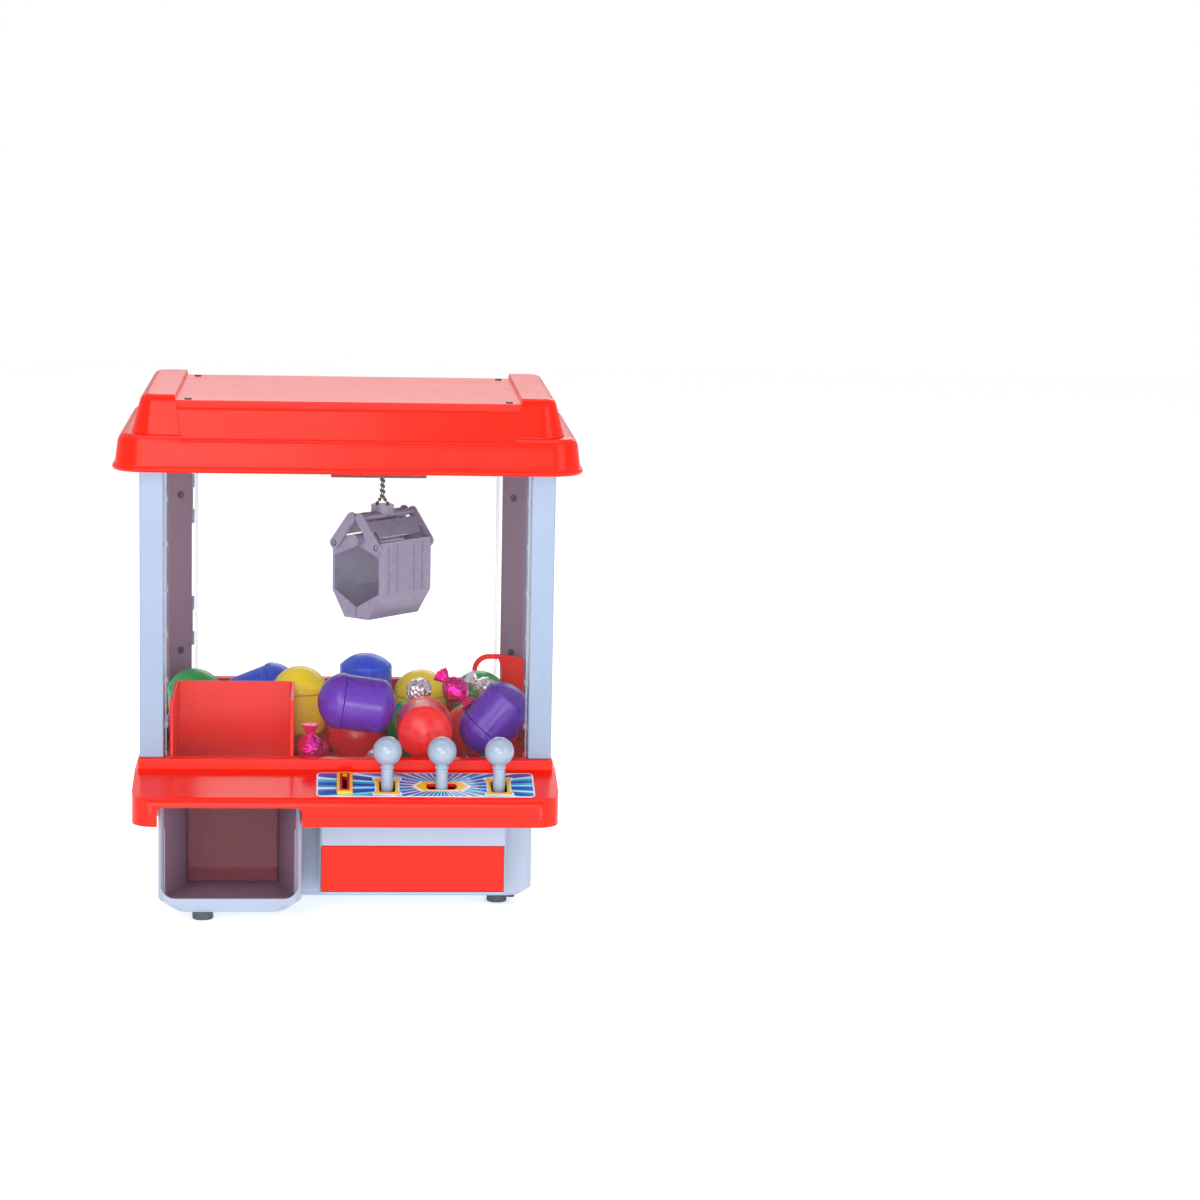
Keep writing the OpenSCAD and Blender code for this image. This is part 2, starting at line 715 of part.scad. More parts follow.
module roof_frame() color(grey) difference() {
  union() {
    along_z(lip_z, frame_top) difference() {
      rounded(-roof_w / 2 + 4, roof_w / 2 - 4, roof_front + 4, roof_back - 4, 18);
      translate(frame_hole[0]) square(frame_hole[1] - frame_hole[0]);
    }
    for (p = roof_screw_at) rod_z(4.5, lip_z, roof_z - wall - 0.3, p[0], p[1]);
    for (x = [-rail_x, rail_x], y = [-62, 94])
      block([x - 3.6, y, lip_z], [x + 3.6, y + 4, rail_z + 5.5]);
    along_x(bridge_gear[0] - 2, bridge_gear[0] + 2) translate([bridge_gear[1], bridge_gear[2] - gear_r]) {
      rack_teeth(-15, 12);
      translate([-47, lip_z - bridge_gear[2] + gear_r]) square([90, bridge_gear[2] - gear_r - 1.3 - lip_z]);
    }
  }
  for (x = [-rail_x, rail_x]) rod_y(rail_r + 0.02, -70, 110, x, rail_z);
  for (p = roof_screw_at) rod_z(1.65, 330, 360, p[0], p[1]);
  // the wires come up through the left rear corner
  block([-half_w + 3, 97, lip_z - 1], [-half_w + 13, 103, frame_top + 1]);
}

// ---------- bridge ----------

module bridge_rails() color(steel) for (x = [-rail_x, rail_x]) rod_y(rail_r, -62, 98, x, rail_z);

module bridge() color(pale) difference() {
  union() {
    both_sides() {
      block([118, -18, 305], [126.5, 58, 335]);
      block([118, -18, 330], [126.5, -8.5, 340]);
    }
    translate([trolley_gear[0], -11.4, rod_z + gear_r]) rotate([90, 180, 0]) linear_extrude(4) {
      rack_teeth(-22, 35);
      translate([trolley_gear[0] - 118.5, -5]) square([237, 3.7]);
    }
  }
  for (x = [-rail_x, rail_x]) rod_y(rail_r + fit, -30, 70, x, rail_z);
  for (y = rod_ys) rod_x(rod_r + 0.02, -130, 130, y, rod_z);
  rod_x(1.4, 110, 130, bridge_gear[1], bridge_gear[2]);
}

module bridge_rods() color(steel) for (y = rod_ys) rod_x(rod_r, -126, 126, y, rod_z);

module bridge_motor() color("#c8c8cc") difference() {
  union() {
    rod_x(motor_r, 98, 118, bridge_gear[1], bridge_gear[2]);
    rod_x(3, 95, 98, bridge_gear[1], bridge_gear[2]);
  }
  rod_x(shaft_r + fit, 108, 119, bridge_gear[1], bridge_gear[2]);
}

module bridge_pinion() color("#f2f2ee") {
  translate([bridge_gear[0] - 2, bridge_gear[1], bridge_gear[2]]) rotate([0, 90, 0]) gear(4);
  rod_x(shaft_r, 110, bridge_gear[0], bridge_gear[1], bridge_gear[2]);
}

// ---------- trolley ----------

module trolley() color("#7f8698") difference() {
  union() {
    block([crane_x - 36, crane_y - 28, trolley_bottom], [crane_x + 30, crane_y + 28, 321]);
    for (x = [crane_x - 36, crane_x + 20], y = rod_ys) block([x, y - 4.6, 318], [x + 10, y + 4.6, 334]);
    block([trolley_gear[0] - 8, -37, 314], [trolley_gear[0] + 8, crane_y - 28, 325]);
  }
  difference() {
    block([crane_x - 34, crane_y - 26, trolley_bottom + 1.9], [crane_x + 28, crane_y + 26, 319]);
    block([drum_x - 8, 21, trolley_bottom - 1], [drum_x + 8, crane_y + 26, 296]);
    rod_y(4, crane_y - 27, 4, drum_x, drum_z);
  }
  for (y = rod_ys) rod_x(rod_r + fit, -20, 70, y, rod_z);
  rod_y(motor_r + 0.05, -40, crane_y - 28.5, trolley_gear[0], trolley_gear[2]);
  rod_y(8.05, 20, crane_y + 26, drum_x, drum_z);
  rod_y(1.2 + fit, 0, 5, drum_x, drum_z);
  // the chain's way out
  along_z(trolley_bottom - 1, trolley_bottom + 3)
    rounded(crane_x - 8, crane_x + 8, crane_y - 6, crane_y + 6, 5);
}

module trolley_motor() color("#c8c8cc") difference() {
  rod_y(motor_r, -37, crane_y - 28.8, trolley_gear[0], trolley_gear[2]);
  rod_y(shaft_r + fit, -29, 0, trolley_gear[0], trolley_gear[2]);
}

module trolley_pinion() color("#f2f2ee") {
  translate([trolley_gear[0], trolley_gear[1] + 1.7, trolley_gear[2]]) rotate([90, 0, 0]) rotate(90) gear(3.4);
  rod_y(shaft_r, -28, trolley_gear[1], trolley_gear[0], trolley_gear[2]);
}

module winch_motor() color("#c8c8cc") difference() {
  rod_y(8, 21, 37, drum_x, drum_z);
  rod_y(1.2 + fit, 20, 34, drum_x, drum_z);
}

module winch_drum() color("#f2f2ee") {
  rod_y(drum_r, 5.4, 18.6, drum_x, drum_z);
  for (y = [5.4, 17.6]) rod_y(11, y, y + 1, drum_x, drum_z);
  rod_y(1.2, 1.5, 33, drum_x, drum_z);
}

module hoist_chain() color(steel) {
  rod_z(1.5, 274.5, drum_z, crane_x, crane_y);
  translate([crane_x, crane_y, 0]) rotate(claw_turn - 60) for (s = [-1, 1])
    translate([s * 0.7, 0, 275.2]) rotate([0, s * 145, 0]) cylinder(r = 0.8, h = 6.6, $fn = 24);
}

// ---------- claw ----------

// local x runs along the hinge pin
module at_claw() translate([crane_x, crane_y, 0]) rotate(claw_turn) children();

// both ends of the claw along the hinge pin
module both_ends(low, high) {
  along_x(low, high) children();
  along_x(-high, -low) children();
}

module claw_hub() color(lavender) at_claw() {
  rod_z(8, hub_z + 1, hub_top, 0, 0);
  for (y = [-link_pivot, link_pivot]) rod_x(2.2, -arm_out, arm_out, y, hub_z);
  for (x = [-12, 12]) {
    rod_z(2, claw_pin_z + 3.6, hub_z + 1, x, 0);
    block([x - 2, -link_pivot, hub_z - 1], [x + 2, link_pivot, hub_z + 1.5]);
  }
  block([-12, -2.5, hub_z - 1.5], [12, 2.5, hub_z + 2]);
}

module link_arm_outline() difference() {
  hull() {
    translate([link_pivot, hub_z]) circle(3.6, $fn = 32);
    translate(link_end) circle(4, $fn = 32);
  }
  translate([link_pivot, hub_z]) circle(2.25, $fn = 40);
  translate(link_end) circle(2.3, $fn = 40);
}

// local x runs from the link's upper pivot to its lower one, y square to it
module on_link() translate([link_pivot, hub_z])
  rotate(atan2(link_end[1] - hub_z, link_end[0] - link_pivot)) children();

// one link: two arms joined by a plate that is cut back beside the jaws' ears
module claw_link() {
  both_ends(arm_in, arm_out) link_arm_outline();
  along_x(-arm_in, arm_in) on_link() translate([5, 0.9]) square([7.5, 1.8]);
  along_x(-21.4, 21.4) on_link() translate([12, 0.9]) square([6.3, 1.8]);
}

module claw_links() color(lavender) at_claw() {
  claw_link();
  mirror([0, 1, 0]) claw_link();
}

module claw_block() color(lavender) at_claw() {
  difference() {
    union() {
      along_x(-21.4, 21.4) translate([0, claw_pin_z]) circle(4.4, $fn = 32);
      for (x = [-12, 12]) rod_z(3.6, claw_pin_z, hub_z - 2.4, x, 0);
    }
    for (x = [-12, 12]) rod_z(2 + fit, claw_pin_z + 3.4, hub_z, x, 0);
  }
  rod_x(claw_pin_r, -arm_out - 1.4, arm_out + 1.4, 0, claw_pin_z);
  for (x = [-arm_out - 1.4, arm_in]) rod_x(4, x, x + 3.2, 0, claw_pin_z);
}

module jaw_ear() difference() {
  hull() {
    translate([0, claw_pin_z]) circle(4.1, $fn = 32);
    translate(corner) circle(3, $fn = 32);
    translate([jaw_reach - 2, corner[1] - 9]) square([2, 1]);
  }
  translate([0, claw_pin_z]) circle(claw_pin_r + fit, $fn = 40);
}

// the right-hand jaw, with its ears between two distances from the middle
module jaw(ears) {
  top = corner[1] + 3;
  along_x(-jaw_len / 2, jaw_len / 2) polygon([[jaw_reach, top], [jaw_reach, jaw_bend_z], [11, jaw_tip_z],
    [0.4, jaw_tip_z], [0.4, jaw_tip_z + 2], [10, jaw_tip_z + 2], [jaw_reach - 2, jaw_bend_z + 0.8],
    [jaw_reach - 2, top]]);
  both_ends(ears[0], ears[1]) jaw_ear();
  for (s = [-1, 1]) rod_x(1.2, s > 0 ? ears[0] : -arm_out, s > 0 ? arm_out : -ears[0], corner[0], corner[1]);
  both_ends(jaw_len / 2 - 2, jaw_len / 2) polygon([[0.4, jaw_tip_z], [0.4, jaw_tip_z + 8],
    [jaw_reach - 4, jaw_bend_z], [jaw_reach - 0.5, jaw_bend_z + 2], [11, jaw_tip_z]]);
  for (x = [-jaw_len / 6, jaw_len / 6, -jaw_len / 3, jaw_len / 3])
    along_x(x - 0.6, x + 0.6) polygon([[jaw_reach - 1, top - 3], [jaw_reach + 0.7, top - 3],
      [jaw_reach + 0.7, jaw_bend_z + 1], [jaw_reach - 1, jaw_bend_z - 1]]);
}

module jaw_right() color(lavender) at_claw() jaw(ear_outer);
module jaw_left() color(lavender) at_claw() mirror([0, 1, 0]) jaw(ear_inner);

// ---------- prizes ----------

// place and heading of a prize, with its length along local Z
module at_prize(p) translate([p[0], p[1], p[2]]) rotate([0, 90 - p[4], p[3]]) children();

module capsule_cups() color("#7a3fb0") for (c = capsules) at_prize(c) {
  cylinder(r = capsule_r - 0.6, h = 26, $fn = 40);
  translate([0, 0, 25.5]) intersection() {
    translate([0, 0, -13.5]) sphere(24, $fn = 48);
    cylinder(r = capsule_r - 0.6, h = 20, $fn = 40);
  }
}

module capsule_lids() color("#ffd21e") for (c = capsules) at_prize(c) {
  translate([0, 0, -4]) cylinder(r = capsule_r, h = 4, $fn = 40);
  translate([0, 0, -18]) intersection() {
    translate([0, 0, 20.5]) sphere(20.5, $fn = 48);
    cylinder(r = capsule_r, h = 14.5, $fn = 40);
  }
}

// wrapped sweets with twisted ends
module sweets() color("#e23a9c") for (p = sweets) at_prize(p) {
  sphere(10.5, $fn = 32);
  for (s = [0, 180]) rotate([s, 0, 0]) translate([0, 0, 8]) cylinder(r1 = 2.2, r2 = 7, h = 9, $fn = 24);
}

// ---------- assembly ----------

base_shell();
base_ledge();
bottom_plate();
feet();
deck();
tray();
prize_partition();
prize_chute();
prize_flap();
pins();
control_sheet();
token_bezel();
token_lever();
token_duct();
token_drawer();
drawer_runners();
joystick_mounts();
joystick_1();
joystick_2();
joystick_3();
knob_1();
knob_2();
knob_3();
leaf_switches();
control_board();
speaker();
battery_box();
battery_cells();
battery_contacts();
battery_door();
power_switch();
front_posts();
rear_posts();
post_covers();
post_wires();
front_window();
side_windows();
rear_door();
roof_shell();
roof_frame();
screws();
bridge_rails();
bridge();
bridge_rods();
bridge_motor();
bridge_pinion();
trolley();
trolley_motor();
trolley_pinion();
winch_motor();
winch_drum();
hoist_chain();
claw_hub();
claw_links();
claw_block();
jaw_left();
jaw_right();
capsule_cups();
capsule_lids();
sweets();
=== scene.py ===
"""Looks of a tabletop claw crane machine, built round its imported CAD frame.

Lengths are written in millimetres and turned into metres by MM. +X is to the machine's right seen
from the front, -Y is the front and +Z is up, as in the frame.
"""

import json
import math

import bpy
import bmesh
from mathutils import Matrix, Vector, noise
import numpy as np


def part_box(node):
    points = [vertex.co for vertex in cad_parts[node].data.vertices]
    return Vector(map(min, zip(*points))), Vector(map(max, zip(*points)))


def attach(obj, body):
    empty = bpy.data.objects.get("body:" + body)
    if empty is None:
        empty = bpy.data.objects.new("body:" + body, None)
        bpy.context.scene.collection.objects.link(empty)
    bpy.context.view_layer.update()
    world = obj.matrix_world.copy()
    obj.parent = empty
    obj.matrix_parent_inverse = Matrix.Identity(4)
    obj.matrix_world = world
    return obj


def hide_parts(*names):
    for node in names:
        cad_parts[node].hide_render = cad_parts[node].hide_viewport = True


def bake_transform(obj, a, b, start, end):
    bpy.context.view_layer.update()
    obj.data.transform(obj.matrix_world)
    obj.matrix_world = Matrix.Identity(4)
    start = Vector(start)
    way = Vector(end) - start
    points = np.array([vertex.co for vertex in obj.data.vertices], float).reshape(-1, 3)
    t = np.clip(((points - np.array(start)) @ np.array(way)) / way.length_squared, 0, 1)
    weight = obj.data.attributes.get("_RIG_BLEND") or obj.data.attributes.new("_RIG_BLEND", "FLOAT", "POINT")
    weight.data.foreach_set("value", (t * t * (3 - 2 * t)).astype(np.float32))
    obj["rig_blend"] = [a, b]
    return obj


MM = 0.001
ROOT = "cabinet"
WALL = 2.4  # of the moulded deck, base and partition
SMOOTH_ANGLE = 38  # edges sharper than this stay hard
BEAD_R, BEAD_PITCH, WIRE_R = 1.3, 3.8, 0.4

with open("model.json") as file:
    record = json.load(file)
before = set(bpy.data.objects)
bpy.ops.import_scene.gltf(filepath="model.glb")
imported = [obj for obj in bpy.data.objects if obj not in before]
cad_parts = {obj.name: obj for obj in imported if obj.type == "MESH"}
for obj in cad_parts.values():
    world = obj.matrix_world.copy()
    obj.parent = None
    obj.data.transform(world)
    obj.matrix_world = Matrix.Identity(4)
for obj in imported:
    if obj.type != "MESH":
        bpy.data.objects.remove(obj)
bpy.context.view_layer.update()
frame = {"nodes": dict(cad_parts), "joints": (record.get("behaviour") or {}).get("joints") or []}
nodes = frame["nodes"]
scene = bpy.context.scene


# ---------- places read from the frame ----------


def low(node):
    return [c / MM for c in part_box(node)[0]]


def high(node):
    return [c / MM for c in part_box(node)[1]]


def joint_point(name):
    """A hinge's place in millimetres."""
    for joint in frame["joints"]:
        if joint["name"] == name:
            return [c / MM for c in joint["pos_m"]]
    raise KeyError(name)


# ---------- camera, lights and floor ----------


def linear(rgb):
    """0-255 display colour to linear light, with alpha 1."""
    return tuple(((c / 255 + 0.055) / 1.055) ** 2.4 if c > 10 else c / 3295 for c in rgb) + (1.0,)


def make_camera():
    """A long lens a little left of the middle, looking down, as the photo was taken."""
    place = Vector((-6.6, -2311, 577)) * MM
    yaw, pitch, roll = (math.radians(a) for a in (4.55, 9.16, 1.18))
    forward = Vector((math.sin(yaw) * math.cos(pitch), math.cos(yaw) * math.cos(pitch),
                      -math.sin(pitch)))
    level = Vector((math.cos(yaw), -math.sin(yaw), 0))
    upright = level.cross(forward)
    right = level * math.cos(roll) + upright * math.sin(roll)
    up = upright * math.cos(roll) - level * math.sin(roll)
    data = bpy.data.cameras.new("camera")
    data.lens = 100.1
    data.sensor_width = 36
    camera = bpy.data.objects.new("camera", data)
    scene.collection.objects.link(camera)
    axes = Matrix((right, up, -forward)).transposed().to_4x4()
    camera.matrix_world = Matrix.Translation(place) @ axes
    scene.camera = camera


def area_light(name, place, size, power):
    data = bpy.data.lights.new(name, "AREA")
    data.shape = "RECTANGLE"
    data.size, data.size_y = size
    data.energy = power
    lamp = bpy.data.objects.new(name, data)
    scene.collection.objects.link(lamp)
    lamp.location = place
    middle = Vector((0, 0, 0.18))
    lamp.rotation_euler = (middle - Vector(place)).to_track_quat("-Z", "Y").to_euler()


def make_studio():
    """White surroundings that light the machine less than the camera sees them, and five soft lights."""
    scene.view_settings.view_transform = "Standard"
    world = bpy.data.worlds.new("studio")
    world.use_nodes = True
    tree = world.node_tree
    seen = tree.nodes.new("ShaderNodeMapRange")
    seen.inputs["To Min"].default_value = 0.5
    seen.inputs["To Max"].default_value = 1.0
    tree.links.new(tree.nodes.new("ShaderNodeLightPath").outputs["Is Camera Ray"], seen.inputs["Value"])
    tree.links.new(seen.outputs["Result"], tree.nodes["Background"].inputs["Strength"])
    tree.nodes["Background"].inputs["Color"].default_value = (1, 1, 1, 1)
    scene.world = world
    area_light("key", (-0.7, -1.8, 1.0), (1.5, 1.1), 15)
    area_light("front", (0.2, -2.6, 0.25), (1.6, 0.6), 16)
    area_light("fill", (1.4, -1.2, 0.6), (0.8, 1.2), 5)
    area_light("top", (0, 0.1, 1.7), (1.4, 1.0), 6)
    area_light("back", (0.3, 1.6, 1.0), (1.2, 0.8), 5)


def make_floor():
    bm = bmesh.new()
    bmesh.ops.create_grid(bm, x_segments=8, y_segments=8, size=4)
    data = bpy.data.meshes.new("floor")
    bm.to_mesh(data)
    bm.free()
    floor = bpy.data.objects.new("floor", data)
    scene.collection.objects.link(floor)
    floor.data.materials.append(MATERIALS["floor"])


# ---------- materials ----------


class Shader:
    """A Principled material whose parts are added one by one."""

    def __init__(self, name, **sockets):
        self.material = bpy.data.materials.new(name)
        self.material.use_nodes = True
        self.tree = self.material.node_tree
        self.bsdf = self.tree.nodes["Principled BSDF"]
        for socket, value in sockets.items():
            self.bsdf.inputs[socket.replace("_", " ")].default_value = value
        self.place = self.tree.nodes.new("ShaderNodeTexCoord").outputs["Object"]

    def node(self, kind, inputs=None, **settings):
        made = self.tree.nodes.new(kind)
        for key, value in settings.items():
            setattr(made, key, value)
        for key, value in (inputs or {}).items():
            if isinstance(value, bpy.types.NodeSocket):
                self.tree.links.new(value, made.inputs[key])
            else:
                made.inputs[key].default_value = value
        return made

    def link(self, output, socket):
        self.tree.links.new(output, self.bsdf.inputs[socket])

    def noise(self, scale, detail=2.0, roughness=0.5):
        return self.node("ShaderNodeTexNoise", {"Vector": self.place, "Scale": scale, "Detail": detail,
                                                "Roughness": roughness}).outputs["Fac"]

    def ramp(self, value, stops):
        made = self.node("ShaderNodeValToRGB", {"Fac": value})
        while len(made.color_ramp.elements) < len(stops):
            made.color_ramp.elements.new(0.5)
        for element, (where, colour) in zip(made.color_ramp.elements, stops):
            element.position = where
            element.color = colour
        return made.outputs["Color"]

    def scaled(self, value, lowest, highest, out_low, out_high):
        return self.node("ShaderNodeMapRange", {"Value": value, "From Min": lowest, "From Max": highest,
                                                "To Min": out_low, "To Max": out_high}).outputs["Result"]

    def bump(self, height, strength, distance=0.0002):
        made = self.node("ShaderNodeBump", {"Height": height, "Strength": strength, "Distance": distance})
        self.link(made.outputs["Normal"], "Normal")


def shade(colour, factor):
    return tuple(min(1.0, c * factor) for c in colour[:3]) + (1.0,)


def moulded(name, rgb, rough=(0.22, 0.32), grain=0.05, drift=0.05, **sockets):
    """Injection-moulded plastic: slow drift of tone, uneven gloss and a fine surface grain."""
    s = Shader(name, **sockets)
    colour = linear(rgb)
    tones = [(0.3, shade(colour, 1 - drift)), (0.7, shade(colour, 1 + drift))]
    s.link(s.ramp(s.noise(9, 3), tones), "Base Color")
    s.link(s.scaled(s.noise(60, 4), 0.3, 0.7, rough[0], rough[1]), "Roughness")
    s.bump(s.noise(1600, 3, 0.6), grain)
    return s.material


def metal(name, rgb, rough=(0.2, 0.35), streak=300):
    """Plated or brushed metal with faint streaks."""
    s = Shader(name, Metallic=1.0)
    colour = linear(rgb)
    streaks = s.noise(streak, 5, 0.7)
    s.link(s.ramp(streaks, [(0.35, shade(colour, 0.86)), (0.65, shade(colour, 1.05))]), "Base Color")
    s.link(s.scaled(streaks, 0.3, 0.7, rough[0], rough[1]), "Roughness")
    s.bump(streaks, 0.05)
    return s.material


def foil(name, rgb):
    """Crumpled metallic wrap: hard little creases over a mirror-like film."""
    s = Shader(name, Metallic=0.85)
    colour = linear(rgb)
    creases = s.node("ShaderNodeTexVoronoi", {"Vector": s.place, "Scale": 420.0}).outputs["Distance"]
    s.link(s.ramp(creases, [(0.1, shade(colour, 0.7)), (0.5, shade(colour, 1.15))]), "Base Color")
    s.link(s.scaled(s.noise(200, 3), 0.3, 0.7, 0.14, 0.3), "Roughness")
    s.bump(creases, 0.5, 0.0006)
    return s.material


def clear_sheet(name, alpha, rough=0.04, tints=((0.62, 0.66, 0.72, 1), (0.7, 0.74, 0.78, 1))):
    """Thin clear polystyrene, seen as a faint gloss or, with red tints, as a painted reflection of red parts
    over what lies behind.
    """
    s = Shader(name, Alpha=alpha)
    s.bsdf.inputs["IOR"].default_value = 1.5
    s.link(s.ramp(s.noise(5, 2), [(0.3, tints[0]), (0.7, tints[1])]), "Base Color")
    s.link(s.scaled(s.noise(40, 3), 0.3, 0.7, rough, rough + 0.05), "Roughness")
    return s.material


def printed_rays(name, centre, count):
    """The control sheet's print: cyan and blue rays round one point, with pale glints between them."""
    s = Shader(name, Coat_Weight=0.5, Coat_Roughness=0.08)
    s.bsdf.inputs["Roughness"].default_value = 0.25
    axes = s.node("ShaderNodeSeparateXYZ", {0: s.place})

    def maths(operation, a, b=0.0):
        made = s.node("ShaderNodeMath", operation=operation)
        for socket, value in zip(made.inputs, (a, b)):
            if isinstance(value, bpy.types.NodeSocket):
                s.tree.links.new(value, socket)
            else:
                socket.default_value = value
        return made.outputs[0]

    dx = maths("SUBTRACT", axes.outputs["X"], centre[0] * MM)
    dy = maths("SUBTRACT", axes.outputs["Y"], centre[1] * MM)
    angle = maths("ARCTAN2", dy, dx)
    wave = maths("SINE", maths("MULTIPLY", angle, count))
    fine = maths("SINE", maths("MULTIPLY", angle, count * 2.37))
    mixed = maths("ADD", maths("MULTIPLY", wave, 0.36), maths("ADD", maths("MULTIPLY", fine, 0.14), 0.5))
    colour = s.ramp(mixed, [
        (0.0, linear((6, 66, 168))), (0.4, linear((8, 98, 200))), (0.48, linear((10, 160, 222))),
        (0.78, linear((60, 206, 236))), (0.9, linear((236, 250, 253)))])
    s.link(colour, "Base Color")
    s.bump(s.noise(1800, 2), 0.03)
    return s.material


def make_materials():
    red = dict(rough=(0.2, 0.26), grain=0.006, drift=0.02, Specular_IOR_Level=0.24, Coat_Weight=0.09,
               Coat_Roughness=0.04)
    return {
        "red": moulded("red", (248, 30, 6), **red),
        "pale": moulded("pale", (150, 168, 196), rough=(0.26, 0.36)),
        "base": moulded("base", (170, 182, 202), rough=(0.28, 0.4)),
        "shade_grey": moulded("shade_grey", (134, 108, 130), rough=(0.28, 0.38)),
        "claw": moulded("claw", (138, 130, 158), rough=(0.22, 0.34), Coat_Weight=0.3, Coat_Roughness=0.15),
        "white": moulded("white", (190, 202, 220), rough=(0.25, 0.35)),
        "knob": moulded("knob", (158, 174, 196), rough=(0.14, 0.22), Coat_Weight=0.7, Coat_Roughness=0.05),
        # The trolley's darker red is painted shade: the red trolley as it looks in the shadow under the roof
        # lip.
        "red_in_painted_shade": moulded("red_in_painted_shade", (120, 26, 22), rough=(0.35, 0.45)),
        "yellow": moulded("yellow", (255, 198, 16), rough=(0.2, 0.3), drift=0.02),
        "slot_red": moulded("slot_red", (206, 20, 10), rough=(0.2, 0.3)),
        "border": moulded("border", (240, 244, 250), rough=(0.2, 0.3), drift=0.01),
        "rays": printed_rays("rays", (64.3, -104), 34),
        "clear": clear_sheet("clear", 0.016),
        # A paler, less clear sheet for painted glints along the clear sheets' edges.
        "clear_edge_glint": clear_sheet("clear_edge_glint", 0.3, 0.15),
        # The flap's red tints are a painted reflection of the red parts round it.
        "clear_flap_painted_reflection": clear_sheet("clear_flap_painted_reflection", 0.3, 0.04, ((0.2, 0.03, 0.04, 1), (0.34, 0.07, 0.09, 1))),
        "steel": metal("steel", (176, 178, 182)),
        "bead": metal("bead", (122, 104, 104), rough=(0.12, 0.25), streak=900),
        "screw": metal("screw", (96, 84, 92), rough=(0.3, 0.4)),
        "can": metal("can", (168, 168, 172), rough=(0.3, 0.42), streak=500),
        "brass": metal("brass", (205, 165, 92)),
        "foil_pink": foil("foil_pink", (236, 24, 150)),
        "foil_silver": foil("foil_silver", (226, 226, 230)),
        "foil_green": foil("foil_green", (70, 150, 84)),
        "rubber": moulded("rubber", (78, 82, 92), rough=(0.6, 0.75), grain=0.25),
        "black": moulded("black", (36, 36, 42), rough=(0.4, 0.5)),
        "board": moulded("board", (36, 110, 66), rough=(0.3, 0.4)),
        "jacket": moulded("jacket", (70, 84, 100), rough=(0.25, 0.35)),
        "violet": moulded("violet", (92, 30, 170), rough=(0.22, 0.32)),
        "cap_red": moulded("cap_red", (240, 16, 16), rough=(0.22, 0.32)),
        "cap_yellow": moulded("cap_yellow", (255, 226, 0), rough=(0.22, 0.32), drift=0.02),
        "cap_blue": moulded("cap_blue", (26, 78, 232), rough=(0.22, 0.32)),
        "cap_green": moulded("cap_green", (4, 160, 62), rough=(0.22, 0.32)),
        "floor": moulded("floor", (252, 252, 252), rough=(0.5, 0.6), drift=0.005, grain=0.01,
                         Emission_Color=(1, 1, 1, 1), Emission_Strength=0.5),
    }


# ---------- mesh helpers ----------


def put(name, mesh, material):
    piece = bpy.data.objects.new(name, mesh)
    scene.collection.objects.link(piece)
    mesh.materials.clear()
    mesh.materials.append(MATERIALS[material])
    return piece


def from_bmesh(name, bm, material):
    bmesh.ops.recalc_face_normals(bm, faces=bm.faces)
    mesh = bpy.data.meshes.new(name)
    bm.to_mesh(mesh)
    bm.free()
    return put(name, mesh, material)


def loft(name, rings, material):
    """A skin over rings of (x, y, z) points in millimetres, closed at both ends."""
    bm = bmesh.new()
    made = [[bm.verts.new([c * MM for c in p]) for p in ring] for ring in rings]
    size = len(rings[0])
    for a, b in zip(made, made[1:]):
        for i in range(size):
            j = (i + 1) % size
            bm.faces.new((a[i], a[j], b[j], b[i]))
    bm.faces.new(made[0])
    bm.faces.new(made[-1])
    return from_bmesh(name, bm, material)


def lathe(name, profile, material, steps=40):
    """A skin of revolution round Z from (radius, height) points in millimetres.

    A radius of 0 closes an end.
    """
    bm = bmesh.new()
    rings = []
    for radius, height in profile:
        if radius == 0:
            rings.append([bm.verts.new((0, 0, height * MM))])
        else:
            turns = [math.tau * i / steps for i in range(steps)]
            rings.append([bm.verts.new((radius * MM * math.cos(turn), radius * MM * math.sin(turn),
                                        height * MM)) for turn in turns])
    for a, b in zip(rings, rings[1:]):
        for i in range(steps):
            j = (i + 1) % steps
            corners = [a[i % len(a)], a[j % len(a)], b[j % len(b)], b[i % len(b)]]
            corners = [v for k, v in enumerate(corners) if v not in corners[:k]]
            if len(corners) > 2:
                bm.faces.new(corners)
    for ring in (rings[0], rings[-1]):
        if len(ring) > 1:
            bm.faces.new(ring)
    return from_bmesh(name, bm, material)


def rounded_rect(x0, x1, y0, y1, radius, z, steps=10):
    """A closed ring round a rectangle with round corners, counted anticlockwise."""
    ring = []
    corners = ((x1 - radius, y0 + radius, -90), (x1 - radius, y1 - radius, 0),
               (x0 + radius, y1 - radius, 90), (x0 + radius, y0 + radius, 180))
    for cx, cy, start in corners:
        for i in range(steps + 1):
            turn = math.radians(start + 90 * i / steps)
            ring.append((cx + radius * math.cos(turn), cy + radius * math.sin(turn), z))
    return ring


def round_corners(outline, steps=6):
    """A 2D outline of (a, b, radius) corners with each corner turned into an arc."""
    points = []
    count = len(outline)
    for i, (a, b, radius) in enumerate(outline):
        here = Vector((a, b))
        if radius == 0:
            points.append((a, b))
            continue
        before = (Vector(outline[i - 1][:2]) - here).normalized()
        after = (Vector(outline[(i + 1) % count][:2]) - here).normalized()
        half = before.angle(after) / 2
        reach = radius / math.tan(half)
        centre = here + (before + after).normalized() * (radius / math.sin(half))
        start = here + before * reach - centre
        end = here + after * reach - centre
        sweep = start.angle_signed(end)
        for k in range(steps + 1):
            turn = -sweep * k / steps
            points.append((centre.x + start.x * math.cos(turn) - start.y * math.sin(turn),
                           centre.y + start.x * math.sin(turn) + start.y * math.cos(turn)))
    return points


def prism(name, outline, axis, start, end, material="red"):
    """A 2D outline run along one axis: (y, z) along X, (x, z) along Y or (x, y) along Z."""
    order = {"X": lambda a, b, c: (c, a, b),
             "Y": lambda a, b, c: (a, c, b),
             "Z": lambda a, b, c: (a, b, c)}[axis]
    return loft(name, [[order(a, b, c) for a, b in outline] for c in (start, end)], material)


